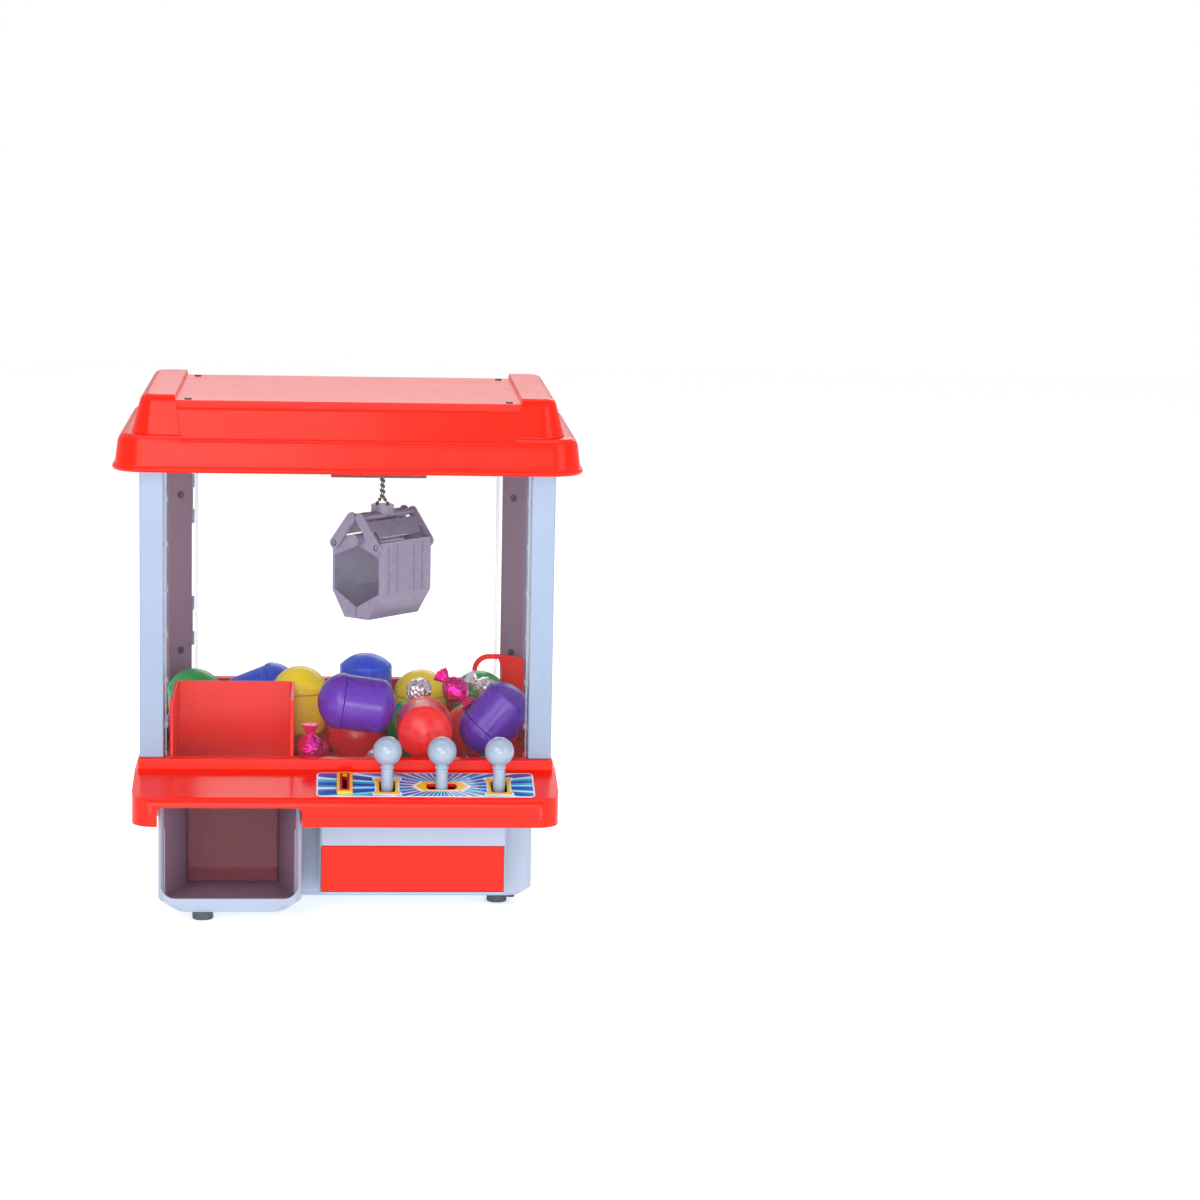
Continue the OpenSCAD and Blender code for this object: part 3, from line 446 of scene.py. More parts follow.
def box(name, lowest, highest, material="red"):
    outline = [(lowest[0], lowest[1]), (highest[0], lowest[1]),
               (highest[0], highest[1]), (lowest[0], highest[1])]
    return prism(name, outline, "Z", lowest[2], highest[2], material)


def bake(piece):
    """Turns a piece's modifiers into its mesh."""
    bpy.context.view_layer.update()
    graph = bpy.context.evaluated_depsgraph_get()
    mesh = bpy.data.meshes.new_from_object(piece.evaluated_get(graph))
    piece.modifiers.clear()
    old, piece.data = piece.data, mesh
    bpy.data.meshes.remove(old)


def combine(piece, tools, operation):
    """Adds, cuts or keeps the shared space of other pieces, which are used up."""
    for tool in tools:
        step = piece.modifiers.new("combine", "BOOLEAN")
        step.operation = operation
        step.solver = "EXACT"
        step.object = tool
    bake(piece)
    for tool in tools:
        bpy.data.objects.remove(tool)
    return piece


def soften(piece, width, segments=3, angle=28):
    """Rounds the edges sharper than angle."""
    step = piece.modifiers.new("soften", "BEVEL")
    step.width = width * MM
    step.segments = segments
    step.limit_method = "ANGLE"
    step.angle_limit = math.radians(angle)
    step.miter_outer = "MITER_ARC"
    bake(piece)
    return piece


def tidy_up(piece):
    """Joins doubled points and flattens what boolean cuts leave in flat faces."""
    bm = bmesh.new()
    bm.from_mesh(piece.data)
    bmesh.ops.remove_doubles(bm, verts=bm.verts, dist=0.00002)
    bmesh.ops.dissolve_limit(bm, angle_limit=math.radians(0.5), verts=bm.verts, edges=bm.edges)
    bm.to_mesh(piece.data)
    bm.free()
    return piece


def smooth_group():
    """Geometry nodes that shade smooth, apart from edges sharper than SMOOTH_ANGLE."""
    group = bpy.data.node_groups.new("smooth_by_angle", "GeometryNodeTree")
    group.interface.new_socket("Geometry", in_out="INPUT", socket_type="NodeSocketGeometry")
    group.interface.new_socket("Geometry", in_out="OUTPUT", socket_type="NodeSocketGeometry")
    start, end = group.nodes.new("NodeGroupInput"), group.nodes.new("NodeGroupOutput")
    faces = group.nodes.new("GeometryNodeSetShadeSmooth")
    edges = group.nodes.new("GeometryNodeSetShadeSmooth")
    edges.domain = "EDGE"
    edges.inputs["Shade Smooth"].default_value = False
    angle = group.nodes.new("GeometryNodeInputMeshEdgeAngle")
    sharp = group.nodes.new("FunctionNodeCompare")
    sharp.operation = "GREATER_THAN"
    sharp.inputs[1].default_value = math.radians(SMOOTH_ANGLE)
    group.links.new(angle.outputs[0], sharp.inputs[0])
    group.links.new(start.outputs[0], faces.inputs["Geometry"])
    group.links.new(faces.outputs[0], edges.inputs["Geometry"])
    group.links.new(sharp.outputs[0], edges.inputs["Selection"])
    group.links.new(edges.outputs[0], end.inputs[0])
    return group


def gloss_normals(piece):
    """Smooth shading whose normals follow the larger faces, so that flat faces look flat."""
    step = piece.modifiers.new("smooth", "NODES")
    step.node_group = SMOOTH
    weighted = piece.modifiers.new("normals", "WEIGHTED_NORMAL")
    weighted.keep_sharp = True
    weighted.weight = 80


def finish_piece(piece, body=ROOT, *replaced):
    """Shades a piece, fixes it to a body and lets it stand in for CAD nodes."""
    gloss_normals(piece)
    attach(piece, body)
    if replaced:
        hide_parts(*replaced)


def dress(node, material, bevel=0.5, segments=2):
    """Keeps a CAD node's shape, with its edges eased and a finish of its own."""
    piece = nodes[node]
    piece.data.materials.clear()
    piece.data.materials.append(MATERIALS[material])
    weld = piece.modifiers.new("weld", "WELD")
    weld.merge_threshold = 0.00001
    flat = piece.modifiers.new("flat", "DECIMATE")
    flat.decimate_type = "DISSOLVE"
    flat.angle_limit = math.radians(0.8)
    if bevel:
        ease = piece.modifiers.new("ease", "BEVEL")
        ease.width = bevel * MM
        ease.segments = segments
        ease.limit_method = "ANGLE"
        ease.angle_limit = math.radians(35)
    gloss_normals(piece)


# ---------- roof ----------


def make_roof():
    """The roof's flared lip and raised ends, with the recess down its front and across its top."""
    x0, y0, lip = low("roof_shell")
    x1, y1, ridge = high("roof_shell")
    flat = ridge - 4
    shoulder = lip + 25
    recess_low, recess_high = 112, 119  # half widths of the recess at its foot and over the ridges

    def step(name, profile, radius, depth_less=0.0):
        rings = [rounded_rect(x0 + inset, x1 - inset, y0 + inset - depth_less, y1 - inset + depth_less,
                              max(radius - inset, 3), z, 14) for inset, z in profile]
        return loft(name, rings, "red")

    roof = step("roof", [
        (3.0, lip), (1.0, lip + 0.2), (0.15, lip + 1.2), (0.0, lip + 2.4), (0.5, lip + 3.6), (1.5, lip + 4.3),
        (2.0, lip + 6), (3.4, lip + 17), (3.9, lip + 20), (5.0, lip + 22.6), (7.0, lip + 24.3),
        (9.5, shoulder), (14, shoulder)], 24)
    upper = step("upper", [
        (13, shoulder - 8), (13, shoulder + 0.6), (13.6, shoulder + 2), (18.4, ridge - 5.5),
        (19.2, ridge - 3), (20.6, ridge - 1.2), (22.6, ridge - 0.2), (24, ridge)], 30, 4)
    combine(roof, [upper], "UNION")
    panel = prism("panel", round_corners([
        (y0 - 6, shoulder - 4.5, 0), (y0 + 8, shoulder - 4.5, 3), (y0 + 14.5, flat - 5, 5), (y0 + 20, flat, 5),
        (y1 + 6, flat, 0), (y1 + 6, ridge + 9, 0), (y0 - 6, ridge + 9, 0)]), "X", -160, 160)
    width = prism("width", round_corners([
        (-recess_low, shoulder - 4.5, 8), (recess_low, shoulder - 4.5, 8), (recess_high, ridge + 20, 0),
        (-recess_high, ridge + 20, 0)]), "Y", y0 - 20, y1 + 20)
    combine(panel, [width], "INTERSECT")
    combine(roof, [panel], "DIFFERENCE")
    tidy_up(roof)
    soften(roof, 1.7, 4, 24)
    wall = 2.5
    hollow = step("hollow", [(3.2 + wall, lip - 1), (2 + wall, lip + 6), (4 + wall, lip + 18),
                             (13 + wall, lip + 20), (15 + wall, lip + 21)], 24)
    attic = step("attic", [(14 + wall, lip + 12), (15.5 + wall, shoulder),
                           (21 + wall, flat - wall - 0.4)], 30, 1)
    combine(hollow, [attic], "UNION")
    combine(roof, [hollow], "DIFFERENCE")
    finish_piece(roof, ROOT, "roof_shell")


# ---------- deck ----------


def shelf_frame():
    """The control shelf's front edge and slope, from the sheet that lies on it."""
    front = low("deck")[1]
    lowest, highest = low("control_sheet"), high("control_sheet")
    slope = math.atan2(highest[2] - lowest[2] - 0.4, highest[1] - lowest[1])
    height = lowest[2] - (lowest[1] - front) * math.tan(slope)
    return front, height, slope


def on_shelf(piece):
    front, height, slope = shelf_frame()
    piece.data.transform(Matrix.Translation((0, front * MM, height * MM)) @ Matrix.Rotation(slope, 4, "X"))


def make_deck():
    """The sloping control shelf, the curb and rims round the tray, and the hollow below."""
    x1, back = high("deck")[:2]
    front, skirt = low("deck")[1:]
    shelf_front = shelf_frame()[1]
    shelf_back_y, shelf_back_z = -76, 97
    floor_under = low("tray")[2]
    curb = low("front_posts")[2]
    rim = low("side_windows")[2]
    tray_front, t = -67, WALL
    deck = prism("deck", round_corners([
        (front, skirt, 0), (front, shelf_front, 5.5), (shelf_back_y, shelf_back_z, 0), (back, shelf_back_z, 3),
        (back, skirt, 0)]), "X", -x1, x1)
    footprint = loft("footprint", [rounded_rect(-x1, x1, front, back, 15, z, 14)
                                   for z in (skirt, 140)], "red")
    combine(deck, [footprint], "INTERSECT")
    tidy_up(deck)
    soften(deck, 1.6, 3, 30)
    curb_block = box("curb", (-141, shelf_back_y, 90), (141, 110, curb))
    rims = [box("rim", (x, -50, 90), (x + 12, 88, rim)) for x in (-141, 129)]
    combine(curb_block, rims, "UNION")
    tidy_up(curb_block)
    soften(curb_block, 1.1, 3, 30)
    tray = box("tray", (-129, tray_front, floor_under), (129, 97, 200))
    pads = [box("pad", (x, -80, 60), (x + 20, -51, curb)) for x in (-141, 121)]
    pads += [prism("pad", [(s * 129, 88), (s * 150, 88), (s * 150, 120), (s * 111, 120), (s * 111, 106)],
                   "Z", 60, curb) for s in (-1, 1)]
    combine(tray, pads, "DIFFERENCE")
    combine(deck, [curb_block], "UNION")
    under = prism("under", [(front + t, skirt - 1), (front + t, shelf_front - t + 0.5),
                            (shelf_back_y, shelf_back_z - t), (tray_front - t, shelf_back_z - t),
                            (tray_front - t, floor_under), (back - t, floor_under), (back - t, skirt - 1)],
                  "X", -x1 + t, x1 - t)
    inner = loft("inner", [rounded_rect(-x1 + t, x1 - t, front + t, back - t, 12.6, z)
                           for z in (skirt - 2, 140)], "red")
    combine(under, [inner], "INTERSECT")
    mouth = round_corners([(-125.6, skirt - 3, 0), (-29.2, skirt - 3, 0), (-29.2, 81, 4), (-125.6, 81, 4)])
    cuts = [tray, under, box("wall", (-111, 96, 97), (111, 104.5, 200)),
            prism("mouth", mouth, "Y", front - 1, front + 3)]
    for x, y, long_x, long_y in stick_slots():
        cuts.append(loft("slot", [rounded_rect(x - long_x, x + long_x, y - long_y, y + long_y, 4, z, 6)
                                  for z in (60, 120)], "red"))
    token = token_centre()
    cuts.append(box("token", (token[0] - 2.2, token[1] - 14, 60), (token[0] + 2.2, token[1] + 14, 110)))
    combine(deck, cuts, "DIFFERENCE")
    finish_piece(deck, ROOT, "deck")
    dress("tray", "red", 0.7, 3)


def make_partition():
    """The bent sheet round three sides of the prize hole, open to the front window."""
    x0, y0, z0 = low("prize_partition")
    x1, y1, z1 = high("prize_partition")
    t = WALL
    bend = 5
    outer = [(x0, y0, 0), (x1, y0, 0), (x1, y1, bend), (x0, y1, bend)]
    inner = [(x0 + t, y0 - 3, 0), (x1 - t, y0 - 3, 0), (x1 - t, y1 - t, bend - t),
             (x0 + t, y1 - t, bend - t)]
    partition = prism("partition", round_corners(outer), "Z", z0, z1)
    combine(partition, [prism("inside", round_corners(inner), "Z", z0 - 5, z1 + 5)], "DIFFERENCE")
    tidy_up(partition)
    soften(partition, 0.7, 3, 40)
    finish_piece(partition, ROOT, "prize_partition")


# ---------- base ----------


CHUTE_X = (-125.4, -29.4)  # the chute box's two sides


def hull_step(name, x0, x1, y0, y1, radius, z0, z1, cut):
    """An upright block with round corners whose lower edge is cut back, apart from its rear side."""
    inward, rise = cut
    slope = [(1, 0), (0.94, 0.02), (0.86, 0.1), (0.14, 0.86), (0.05, 0.98), (0, 1.12)]
    rings = [rounded_rect(x0 + inward * k, x1 - inward * k, y0 + inward * k, y1, radius, z0 + rise * h)
             for k, h in slope + [(0, (z1 - z0) / rise)]]
    return loft(name, rings, "base")


def base_form(t, back, front, bottom, top):
    """The base and the chute box in front of it, moved in by t."""
    base = hull_step("base", -128 + t, 128 - t, -73 + t, back - t, 8 - t, bottom, top, (8, 6.5))
    chute = hull_step("chute", CHUTE_X[0] + t, CHUTE_X[1] - t, front + t, -50 - t, 9 - t, bottom, top,
                      (11.5, 10))
    return combine(base, [chute], "UNION")


def make_base():
    """The grey base with its chute box and drawer housing, and the plate that closes it below."""
    bottom = low("bottom_plate")[2]
    plate = low("base_shell")[2]
    back = high("bottom_plate")[1]
    front = low("base_shell")[1]
    skirt, mouth_top = low("base_ledge")[2] + 6, high("base_shell")[2]
    drawer_low, drawer_high = low("token_drawer"), high("token_drawer")
    t = WALL
    base = base_form(0, back, front, bottom, skirt)
    upper = loft("upper", [rounded_rect(*CHUTE_X, front, -76, 9, z)
                           for z in (skirt - 1, mouth_top)], "base")
    house = hull_step("house", -18, 108.8, -98, -60, 3, 15, skirt, (1.2, 1.2))
    combine(base, [upper, house], "UNION")
    tidy_up(base)
    soften(base, 0.9, 3, 40)
    mouth = round_corners([(-123.6, 18, 10), (-31.2, 18, 10), (-31.2, 120, 0), (-123.6, 120, 0)], 10)
    cuts = [
        base_form(t, back, front, bottom - 0.1, skirt + 5),
        loft("shaft", [rounded_rect(CHUTE_X[0] + t, CHUTE_X[1] - t, front + t, -70, 6, z)
                       for z in (skirt - 3, 100)], "base"),
        box("bay", (-15.6, -95.6, 17), (106.4, -69.6, 65.6)),
        box("below", (-150, -150, 0), (150, 150, plate)),
        prism("mouth", mouth, "Y", front - 1, front + 4),
        box("front", (drawer_low[0] - 0.5, -99, 16.6), (drawer_high[0] + 0.5, -95, 48.9)),
        box("cells", (-2, 98, 12), (104, 110, 46)),
        box("switch", (-95, 98, 26), (-81, 110, 34))]
    combine(base, cuts, "DIFFERENCE")
    finish_piece(base, ROOT, "base_shell")
    bottom_plate = base_form(0.3, back, front, bottom, skirt)
    cover = box("cover", (-150, -150, bottom - 1), (150, 150, plate - 0.15))
    combine(bottom_plate, [cover], "INTERSECT")
    grille = [box("slot", (-96 + 6 * i, 34, 0), (-93 + 6 * i, 66, 20)) for i in range(-3, 4)]
    combine(bottom_plate, grille, "DIFFERENCE")
    tidy_up(bottom_plate)
    bottom_plate.name = "bottom"
    finish_piece(bottom_plate, ROOT, "bottom_plate")


def make_drawer():
    """The drawer's front, flush in its housing, and the tray behind it."""
    x0, y0, z0 = low("token_drawer")
    x1, y1, z1 = high("token_drawer")
    face = round_corners([(x0, z0, 1.5), (x1, z0, 1.5), (x1, z1, 1.5), (x0, z1, 1.5)])
    front = prism("drawer_front", face, "Y", y0 + 0.2, y0 + 2.4)
    soften(front, 0.6, 3, 40)
    tray = box("tray", (-12, y0 + 2, 20), (103, y1, 44))
    combine(tray, [box("hollow", (-10, y0 + 4, 22), (101, y1 - 2, 60))], "DIFFERENCE")
    combine(front, [tray], "UNION")
    finish_piece(front, "token_drawer", "token_drawer")


# ---------- control panel ----------


def token_centre():
    lowest, highest = low("token_bezel"), high("token_bezel")
    return [(lowest[0] + highest[0]) / 2, (lowest[1] + highest[1]) / 2]


def stick_slots():
    """(x, y, half length along X, half length along Y) of each stick's slot."""
    slots = []
    for name in ("joystick_1", "joystick_2", "joystick_3"):
        x, y, _ = joint_point(name + "_tilt")
        slots.append((x, y, 10.3, 5.4) if name == "joystick_2" else (x, y, 5.4, 10.3))
    return slots


def sheet_cutters():
    """What the sticks and the token pass through."""
    cutters = []
    for x, y, long_x, long_y in stick_slots():
        cutters.append(loft("slot", [rounded_rect(x - long_x, x + long_x, y - long_y, y + long_y, 3, z, 5)
                                     for z in (60, 120)], "red"))
    x, y = token_centre()
    cutters.append(box("token", (x - 2.2, y - 14, 60), (x + 2.2, y + 14, 120)))
    return cutters


def make_control_sheet():
    """The printed sheet: a white border with the rays just above it."""
    layers = (("print_border", "border", 0.0, 0.0, 0.3), ("print_rays", "rays", 1.0, 0.3, 0.42))
    for name, material, margin, base, top in layers:
        sheet = loft(name, [rounded_rect(-20 + margin, 127 - margin, 6 + margin, 45 - margin,
                                         4 - margin, z) for z in (base, top)], material)
        on_shelf(sheet)
        combine(sheet, sheet_cutters(), "DIFFERENCE")
        finish_piece(sheet, ROOT, *(["control_sheet"] if material == "border" else []))


def panel_frame(name, x, y, outline):
    """A printed yellow surround standing just proud of the sheet, with an outline round (x, y)."""
    front, _, slope = shelf_frame()
    along = (y - front) / math.cos(slope)
    layers = (("_edge", 1.155, 1.144, 0.5, "border"), ("", 1.0, 1.0, 0.62, "yellow"))
    for suffix, grow_x, grow_y, top, material in layers:
        points = [(x + a * grow_x, along + b * grow_y) for a, b in outline]
        surround = prism(name + suffix, points, "Z", 0.3, top, material)
        on_shelf(surround)
        combine(surround, sheet_cutters(), "DIFFERENCE")
        finish_piece(surround)


def make_panel_frames():
    """Brackets round the slots that run to and fro, and a double arrow round the sideways one."""
    bracket = [(8.6, -13), (8.6, -9.8), (7.2, -7.2), (7.2, 7.2), (8.6, 9.8), (8.6, 13)]
    bracket += [(-a, -b) for a, b in bracket]
    arrow = [(17.6, 0), (11.6, 8.2), (11.6, 6.9), (-11.6, 6.9), (-11.6, 8.2)]
    arrow += [(-a, -b) for a, b in arrow]
    for i, (x, y, long_x, long_y) in enumerate(stick_slots()):
        panel_frame("frame_%d" % (i + 1), x, y, arrow if long_x > long_y else bracket)


def make_token_bezel():
    """The yellow surround of the token slot, with a red inset."""
    x, y = token_centre()
    front, _, slope = shelf_frame()
    along = (y - front) / math.cos(slope)
    steps = ((0, 0.4), (0, 1.9), (0.25, 2.4), (0.7, 2.7))
    bezel = loft("bezel", [rounded_rect(x - 5.4 + i, x + 5.4 - i, along - 16.4 + i, along + 16.4 - i,
                                        1.6, z, 5) for i, z in steps], "yellow")
    on_shelf(bezel)
    combine(bezel, [box("slot", (x - 1.7, y - 12.6, 60), (x + 1.7, y + 12.6, 120))], "DIFFERENCE")
    soften(bezel, 0.3, 2, 50)
    finish_piece(bezel, ROOT, "token_bezel")
    inset = loft("token_inset", [rounded_rect(x - 3.3, x + 3.3, along - 14, along + 14, 0.8, z, 4)
                                 for z in (2.4, 2.85)], "slot_red")
    on_shelf(inset)
    combine(inset, [box("slot", (x - 1.6, y - 12.4, 60), (x + 1.6, y + 12.4, 120))], "DIFFERENCE")
    finish_piece(inset)


def make_joysticks():
    """Each stick with its collar, ball and dust cover."""
    for i in (1, 2, 3):
        body = "joystick_%d" % i
        x, y, pivot = joint_point(body + "_tilt")
        ball = (low("knob_%d" % i)[2] + high("knob_%d" % i)[2]) / 2
        ball_r = (high("knob_%d" % i)[0] - low("knob_%d" % i)[0]) / 2
        stick = lathe(body + "_stick", [
            (0, pivot - 3), (3.6, pivot - 3), (3.6, pivot + 9), (4.3, pivot + 12), (4.1, ball - 16),
            (4.1, ball - 12), (4.7, ball - 11.6), (4.9, ball - 11), (4.7, ball - 10.4), (4.2, ball - 9.8),
            (4.1, ball - 6), (0, ball - 6)], "knob", 40)
        stick.location = (x * MM, y * MM, 0)
        turns = 20
        sphere = [(ball_r * math.sin(math.pi * k / turns), ball - ball_r * math.cos(math.pi * k / turns))
                  for k in range(1, turns)]
        knob = lathe(body + "_ball", [(0, ball - ball_r)] + sphere + [(0, ball + ball_r)], "knob", 48)
        knob.location = (x * MM, y * MM, 0)
        shutter = make_shutter(body + "_shutter", pivot, "Y" if i == 2 else "X")
        shutter.location = (x * MM, y * MM, 0)
        finish_piece(stick, body, body)
        finish_piece(knob, body, "knob_%d" % i)
        finish_piece(shutter, body)


def make_shutter(name, pivot, axis):
    """The curved red dust cover that turns with a stick and fills most of its slot, bent round an axis."""
    steps = 14
    reach = math.radians(62)
    sweep = [reach * (2 * k / steps - 1) for k in range(steps + 1)]
    outline = [(11.4 * math.sin(a), pivot + 11.4 * math.cos(a)) for a in sweep]
    outline += [(10.2 * math.sin(a), pivot + 10.2 * math.cos(a)) for a in reversed(sweep)]
    return prism(name, outline, axis, -7.6, 7.6, "slot_red")


# ---------- clear panels ----------


def make_clear_panels():
    """The clear sheets, in their CAD shape, with strips and tabs along their edges in a paler, less clear
    finish: painted glints on the edges.
    """
    for node in ("front_window", "side_windows", "rear_door"):
        dress(node, "clear", 0)
    # The prize flap's red tint is a painted reflection.
    dress("prize_flap", "clear_flap_painted_reflection", 0.3)
    x, z0, z1 = 122.6, low("front_window")[2], high("front_window")[2]
    y = high("front_window")[1]
    # Strips down the front window's sides and tabs up them, in the paler edge finish: painted glints on the
    # window's edges, on tabs that are also real.
    edge_glints = [box("edge", (s * x - 0.5, y, z0 + 1), (s * x + 0.5, y + 2.2, z1 - 1), "clear_edge_glint")
               for s in (-1, 1)]
    tabs, tab_gap = 6, 31
    for s in (-1, 1):
        for i in range(tabs):
            z = z0 + 20 + tab_gap * i
            edge_glints.append(box("tab", (s * x - 1.4, y, z), (s * x + 1.4, y + 3.4, z + 3.4), "clear_edge_glint"))
    combine(edge_glints[0], edge_glints[1:], "UNION")
    edge_glints[0].name = "window_edge_glints"
    finish_piece(edge_glints[0])
    # Strips by the rear door's sides in the paler edge finish: painted glints on its edges.
    x, z0, z1 = 109.2, low("rear_door")[2], high("rear_door")[2]
    rims = [box("rim", (s * x - 1.2, 103.8, z0 + 8), (s * x + 1.2, 105.2, z1 - 1), "clear_edge_glint")
            for s in (-1, 1)]
    combine(rims[0], rims[1:], "UNION")
    rims[0].name = "door_edge_glints"
    finish_piece(rims[0], "rear_door")


# ---------- hoist chain ----------


def make_chain():
    """A doubled bead chain with a fork at the hub. Each bead moves as one.

    The spare beads lie in the trolley while the claw is up.
    """
    x = sum((low("hoist_chain")[0], high("hoist_chain")[0])) / 2
    y = sum((low("hoist_chain")[1], high("hoist_chain")[1])) / 2
    hub_top = high("claw_hub")[2]
    top = high("hoist_chain")[2]
    travel = next(j for j in frame["joints"] if j["name"] == "hoist")["range_m"][1] / MM
    knot = hub_top + 5.5  # where the fork's two legs meet
    bm = bmesh.new()
    weights = []

    def bead(at, weight):
        made = bmesh.ops.create_icosphere(bm, subdivisions=2, radius=BEAD_R * MM,
                                          matrix=Matrix.Translation(Vector(at) * MM))
        weights.extend([weight] * len(made["verts"]))

    def wire(a, b, weight):
        a, b = Vector(a) * MM, Vector(b) * MM
        turn = (b - a).to_track_quat("Z", "Y").to_matrix().to_4x4()
        made = bmesh.ops.create_cone(bm, segments=8, radius1=WIRE_R * MM, radius2=WIRE_R * MM,
                                     depth=(b - a).length, matrix=Matrix.Translation((a + b) / 2) @ turn)
        weights.extend([weight] * len(made["verts"]))

    count = int((top - knot + travel) / BEAD_PITCH)
    hidden_floor = low("trolley")[2] + 3.5
    for i in range(count):
        for strand in (-1, 1):
            rest = knot + BEAD_PITCH * i + 0.5 * strand
            lowered = rest - travel
            if rest > hidden_floor:
                spare = min(1.0, (rest - hidden_floor) / (count * BEAD_PITCH))
                rest = hidden_floor + spare * (top - 4 - hidden_floor)
            weight = min(1.0, max(0.0, (rest - lowered) / travel))
            across = x - strand * (0.75 + 0.15 * math.sin(i * 2.1))
            bead((across, y + strand * 0.5, rest), weight)
            wire((across, y + strand * 0.5, rest - BEAD_PITCH / 2),
                 (across, y + strand * 0.5, rest + BEAD_PITCH / 2), weight)
    for strand in (-1, 1):
        foot = (x + strand * 3.8, y - strand * 0.8, hub_top + 0.6)
        end = (x + strand * 0.8, y - strand * 0.5, knot - 0.6)
        for k in (0.05, 0.62):
            bead([a + (b - a) * k for a, b in zip(foot, end)], 1.0)
        wire(foot, end, 1.0)
    mesh = bpy.data.meshes.new("bead_chain")
    bm.to_mesh(mesh)
    bm.free()
    chain = put("bead_chain", mesh, "bead")
    for polygon in mesh.polygons:
        polygon.use_smooth = True
    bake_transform(chain, "trolley", "claw_hub", start=(x * MM, y * MM, top * MM),
             end=(x * MM, y * MM, hub_top * MM))
    stored = mesh.attributes["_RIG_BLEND"]
    for item, weight in zip(stored.data, weights):
        item.value = weight
    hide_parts("hoist_chain")


# ---------- prizes ----------

# x, y and z of a capsule's seam or a sweet's middle, turn round Z, lean up from level, finish
CAPSULES = [
    (-2, -46.8, 138.6, 0, -8, "violet"), (54, -30.5, 119, -90, 0, "cap_red"),
    (97, -33, 117, 0, 50, "violet"), (-109, 66, 122.1, 0, -90, "cap_green"),
    (-52, 73, 124, 180, -22, "cap_blue"), (-33, 30, 131, 0, -90, "cap_yellow"),
    (14, 68, 116, 0, 90, "cap_blue"), (54, 68, 122.1, 0, -90, "cap_yellow"),
    (47, 9, 105.8, 90, 0, "cap_green"), (86, 12, 105.8, 0, 0, "cap_red"),
    (6.5, 21, 105.8, -90, 0, "cap_red"), (96, 64, 122.1, 0, -90, "cap_green"),
    (-110, 25, 105.8, 0, 0, "violet"),
]
SWEETS = [
    (-25, -54, 107, 0, 90, "foil_pink"), (22, -49, 97, 90, 0, "foil_silver"),
    (76, -14, 141, 140, 35, "foil_pink"), (51, 4, 137, 80, 0, "foil_silver"),
    (100, 34, 132, 200, 35, "foil_silver"), (99, -56, 97, 0, 0, "foil_green"),
    (-21, -20, 97.2, 90, 0, "foil_pink"),
]


def lay(piece, x, y, z, turn, lean):
    """Puts a prize made along Z in its place in the tray."""
    piece.location = (x * MM, y * MM, z * MM)
    piece.rotation_euler = (0, math.radians(90 - lean), math.radians(turn))


def make_capsules():
    """Two-part capsules: a deep cup with a rounded end, and a lid over its mouth."""
    cup_end = [(24 * math.sin(a), 12 + 24 * math.cos(a)) for a in map(math.radians, range(46, 0, -5))]
    cup = [(0, 0.3), (18.9, 0.3), (18.9, 25.2), (18.7, 26.8), (18.2, 28.1)] + cup_end
    cup += [(2.4, 35.85), (2.2, 35.3), (1.6, 35.1), (0, 35.1)]
    dome = [(20.5 * math.sin(a), 2.5 - 20.5 * math.cos(a)) for a in map(math.radians, range(68, 0, -7))]
    lid = [(0, -0.1), (18.9, -0.1), (19.4, -0.35), (19.5, -0.9), (19.5, -3.8)] + dome + [(0, -18)]
    for i, (x, y, z, turn, lean, colour) in enumerate(CAPSULES):
        for suffix, profile in (("cup", cup), ("lid", lid)):
            half = lathe("capsule_%d_%s" % (i, suffix), profile, colour, 56)
            lay(half, x, y, z, turn, lean)
            finish_piece(half, ROOT, "capsule_" + suffix + "s")


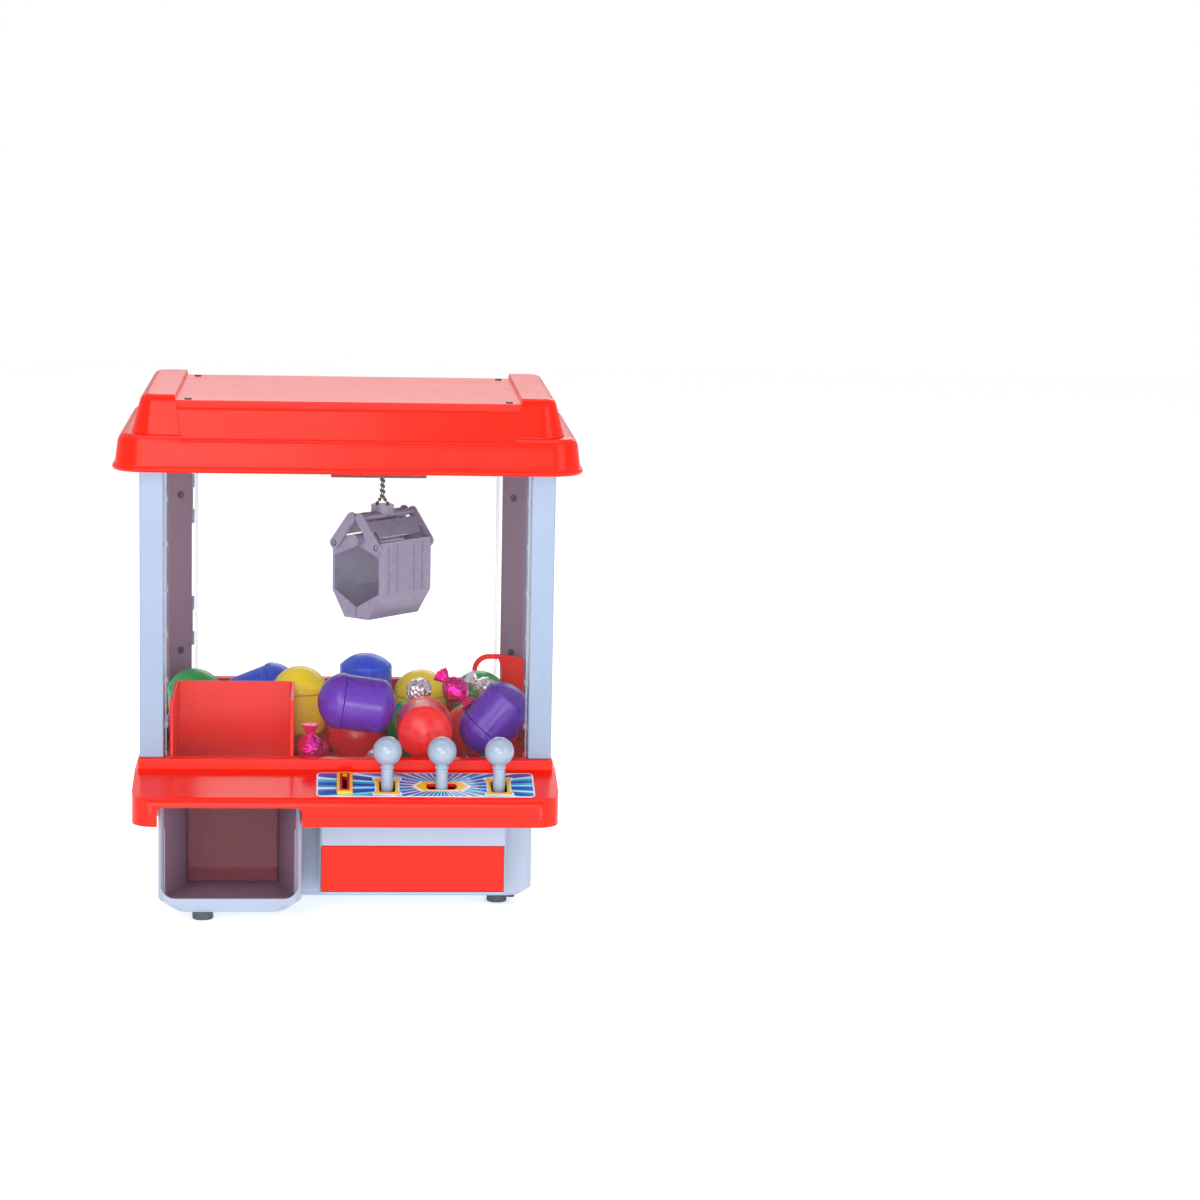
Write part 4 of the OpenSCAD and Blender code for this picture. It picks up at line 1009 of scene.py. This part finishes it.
def make_sweets():
    """Sweets in crumpled foil, twisted shut at both ends."""
    half_length, steps = 17, 44
    for i, (x, y, z, turn, lean, colour) in enumerate(SWEETS):
        seed = Vector((i * 7.3, 1.7, 4.1))
        rings = []
        for k in range(steps + 1):
            along = -half_length + 2 * half_length * k / steps
            middle = abs(along) < 10.2
            radius = 2.2 + (abs(along) - 9) * 0.55
            if middle:
                radius = max(2.4, math.sqrt(max(0, 104 - along * along)))
            ring = []
            for j in range(56):
                turned = math.tau * j / 56 + along * 0.05
                point = Vector((math.cos(turned), math.sin(turned), along * 0.12))
                crumple = noise.noise(point * 2.6 + seed) * 0.11 + noise.noise(point * 6 + seed) * 0.06
                if not middle:
                    crumple += 0.13 * math.sin(9 * turned + i) * min(1, (abs(along) - 9) / 4)
                reach = radius * min(0.995, 0.86 + crumple)
                ring.append((reach * math.cos(turned), reach * math.sin(turned), along * 0.99))
            rings.append(ring)
        sweet = loft("sweet_%d" % i, rings, colour)
        lay(sweet, x, y, z, turn, lean)
        finish_piece(sweet, ROOT, "sweets")


# ---------- everything else keeps its CAD shape ----------

FINISHES = {
    "pale": ["drawer_runners", "joystick_mounts", "battery_box", "bridge"],
    "base": ["base_ledge", "token_duct", "battery_door", "roof_frame"],
    # The trolley gets the darker red of painted shade.
    "red_in_painted_shade": ["trolley"],
    "shade_grey": ["prize_chute", "post_covers"],
    "claw": ["claw_hub", "claw_links", "claw_block", "jaw_left", "jaw_right"],
    "white": ["token_lever", "bridge_pinion", "trolley_pinion", "winch_drum"],
    "rubber": ["feet"],
    "black": ["speaker", "power_switch", "post_wires"],
    "board": ["control_board"],
    "jacket": ["battery_cells"],
    "brass": ["leaf_switches"],
    "can": ["bridge_motor", "trolley_motor", "winch_motor"],
    "screw": ["screws"],
    "steel": ["pins", "battery_contacts", "bridge_rails", "bridge_rods"],
}
FINE_EDGED = ("steel", "brass", "board", "white")


def dress_the_rest():
    for material, names in FINISHES.items():
        for node in names:
            dress(node, material, 0.35 if material in FINE_EDGED else 0.5)
    for node in ("front_posts", "rear_posts"):
        dress(node, "pale", 1.2, 3)


SMOOTH = smooth_group()
MATERIALS = make_materials()
make_camera()
make_studio()
make_floor()
make_roof()
make_deck()
make_partition()
make_base()
make_drawer()
make_control_sheet()
make_panel_frames()
make_token_bezel()
make_joysticks()
make_clear_panels()
make_chain()
make_capsules()
make_sweets()
dress_the_rest()
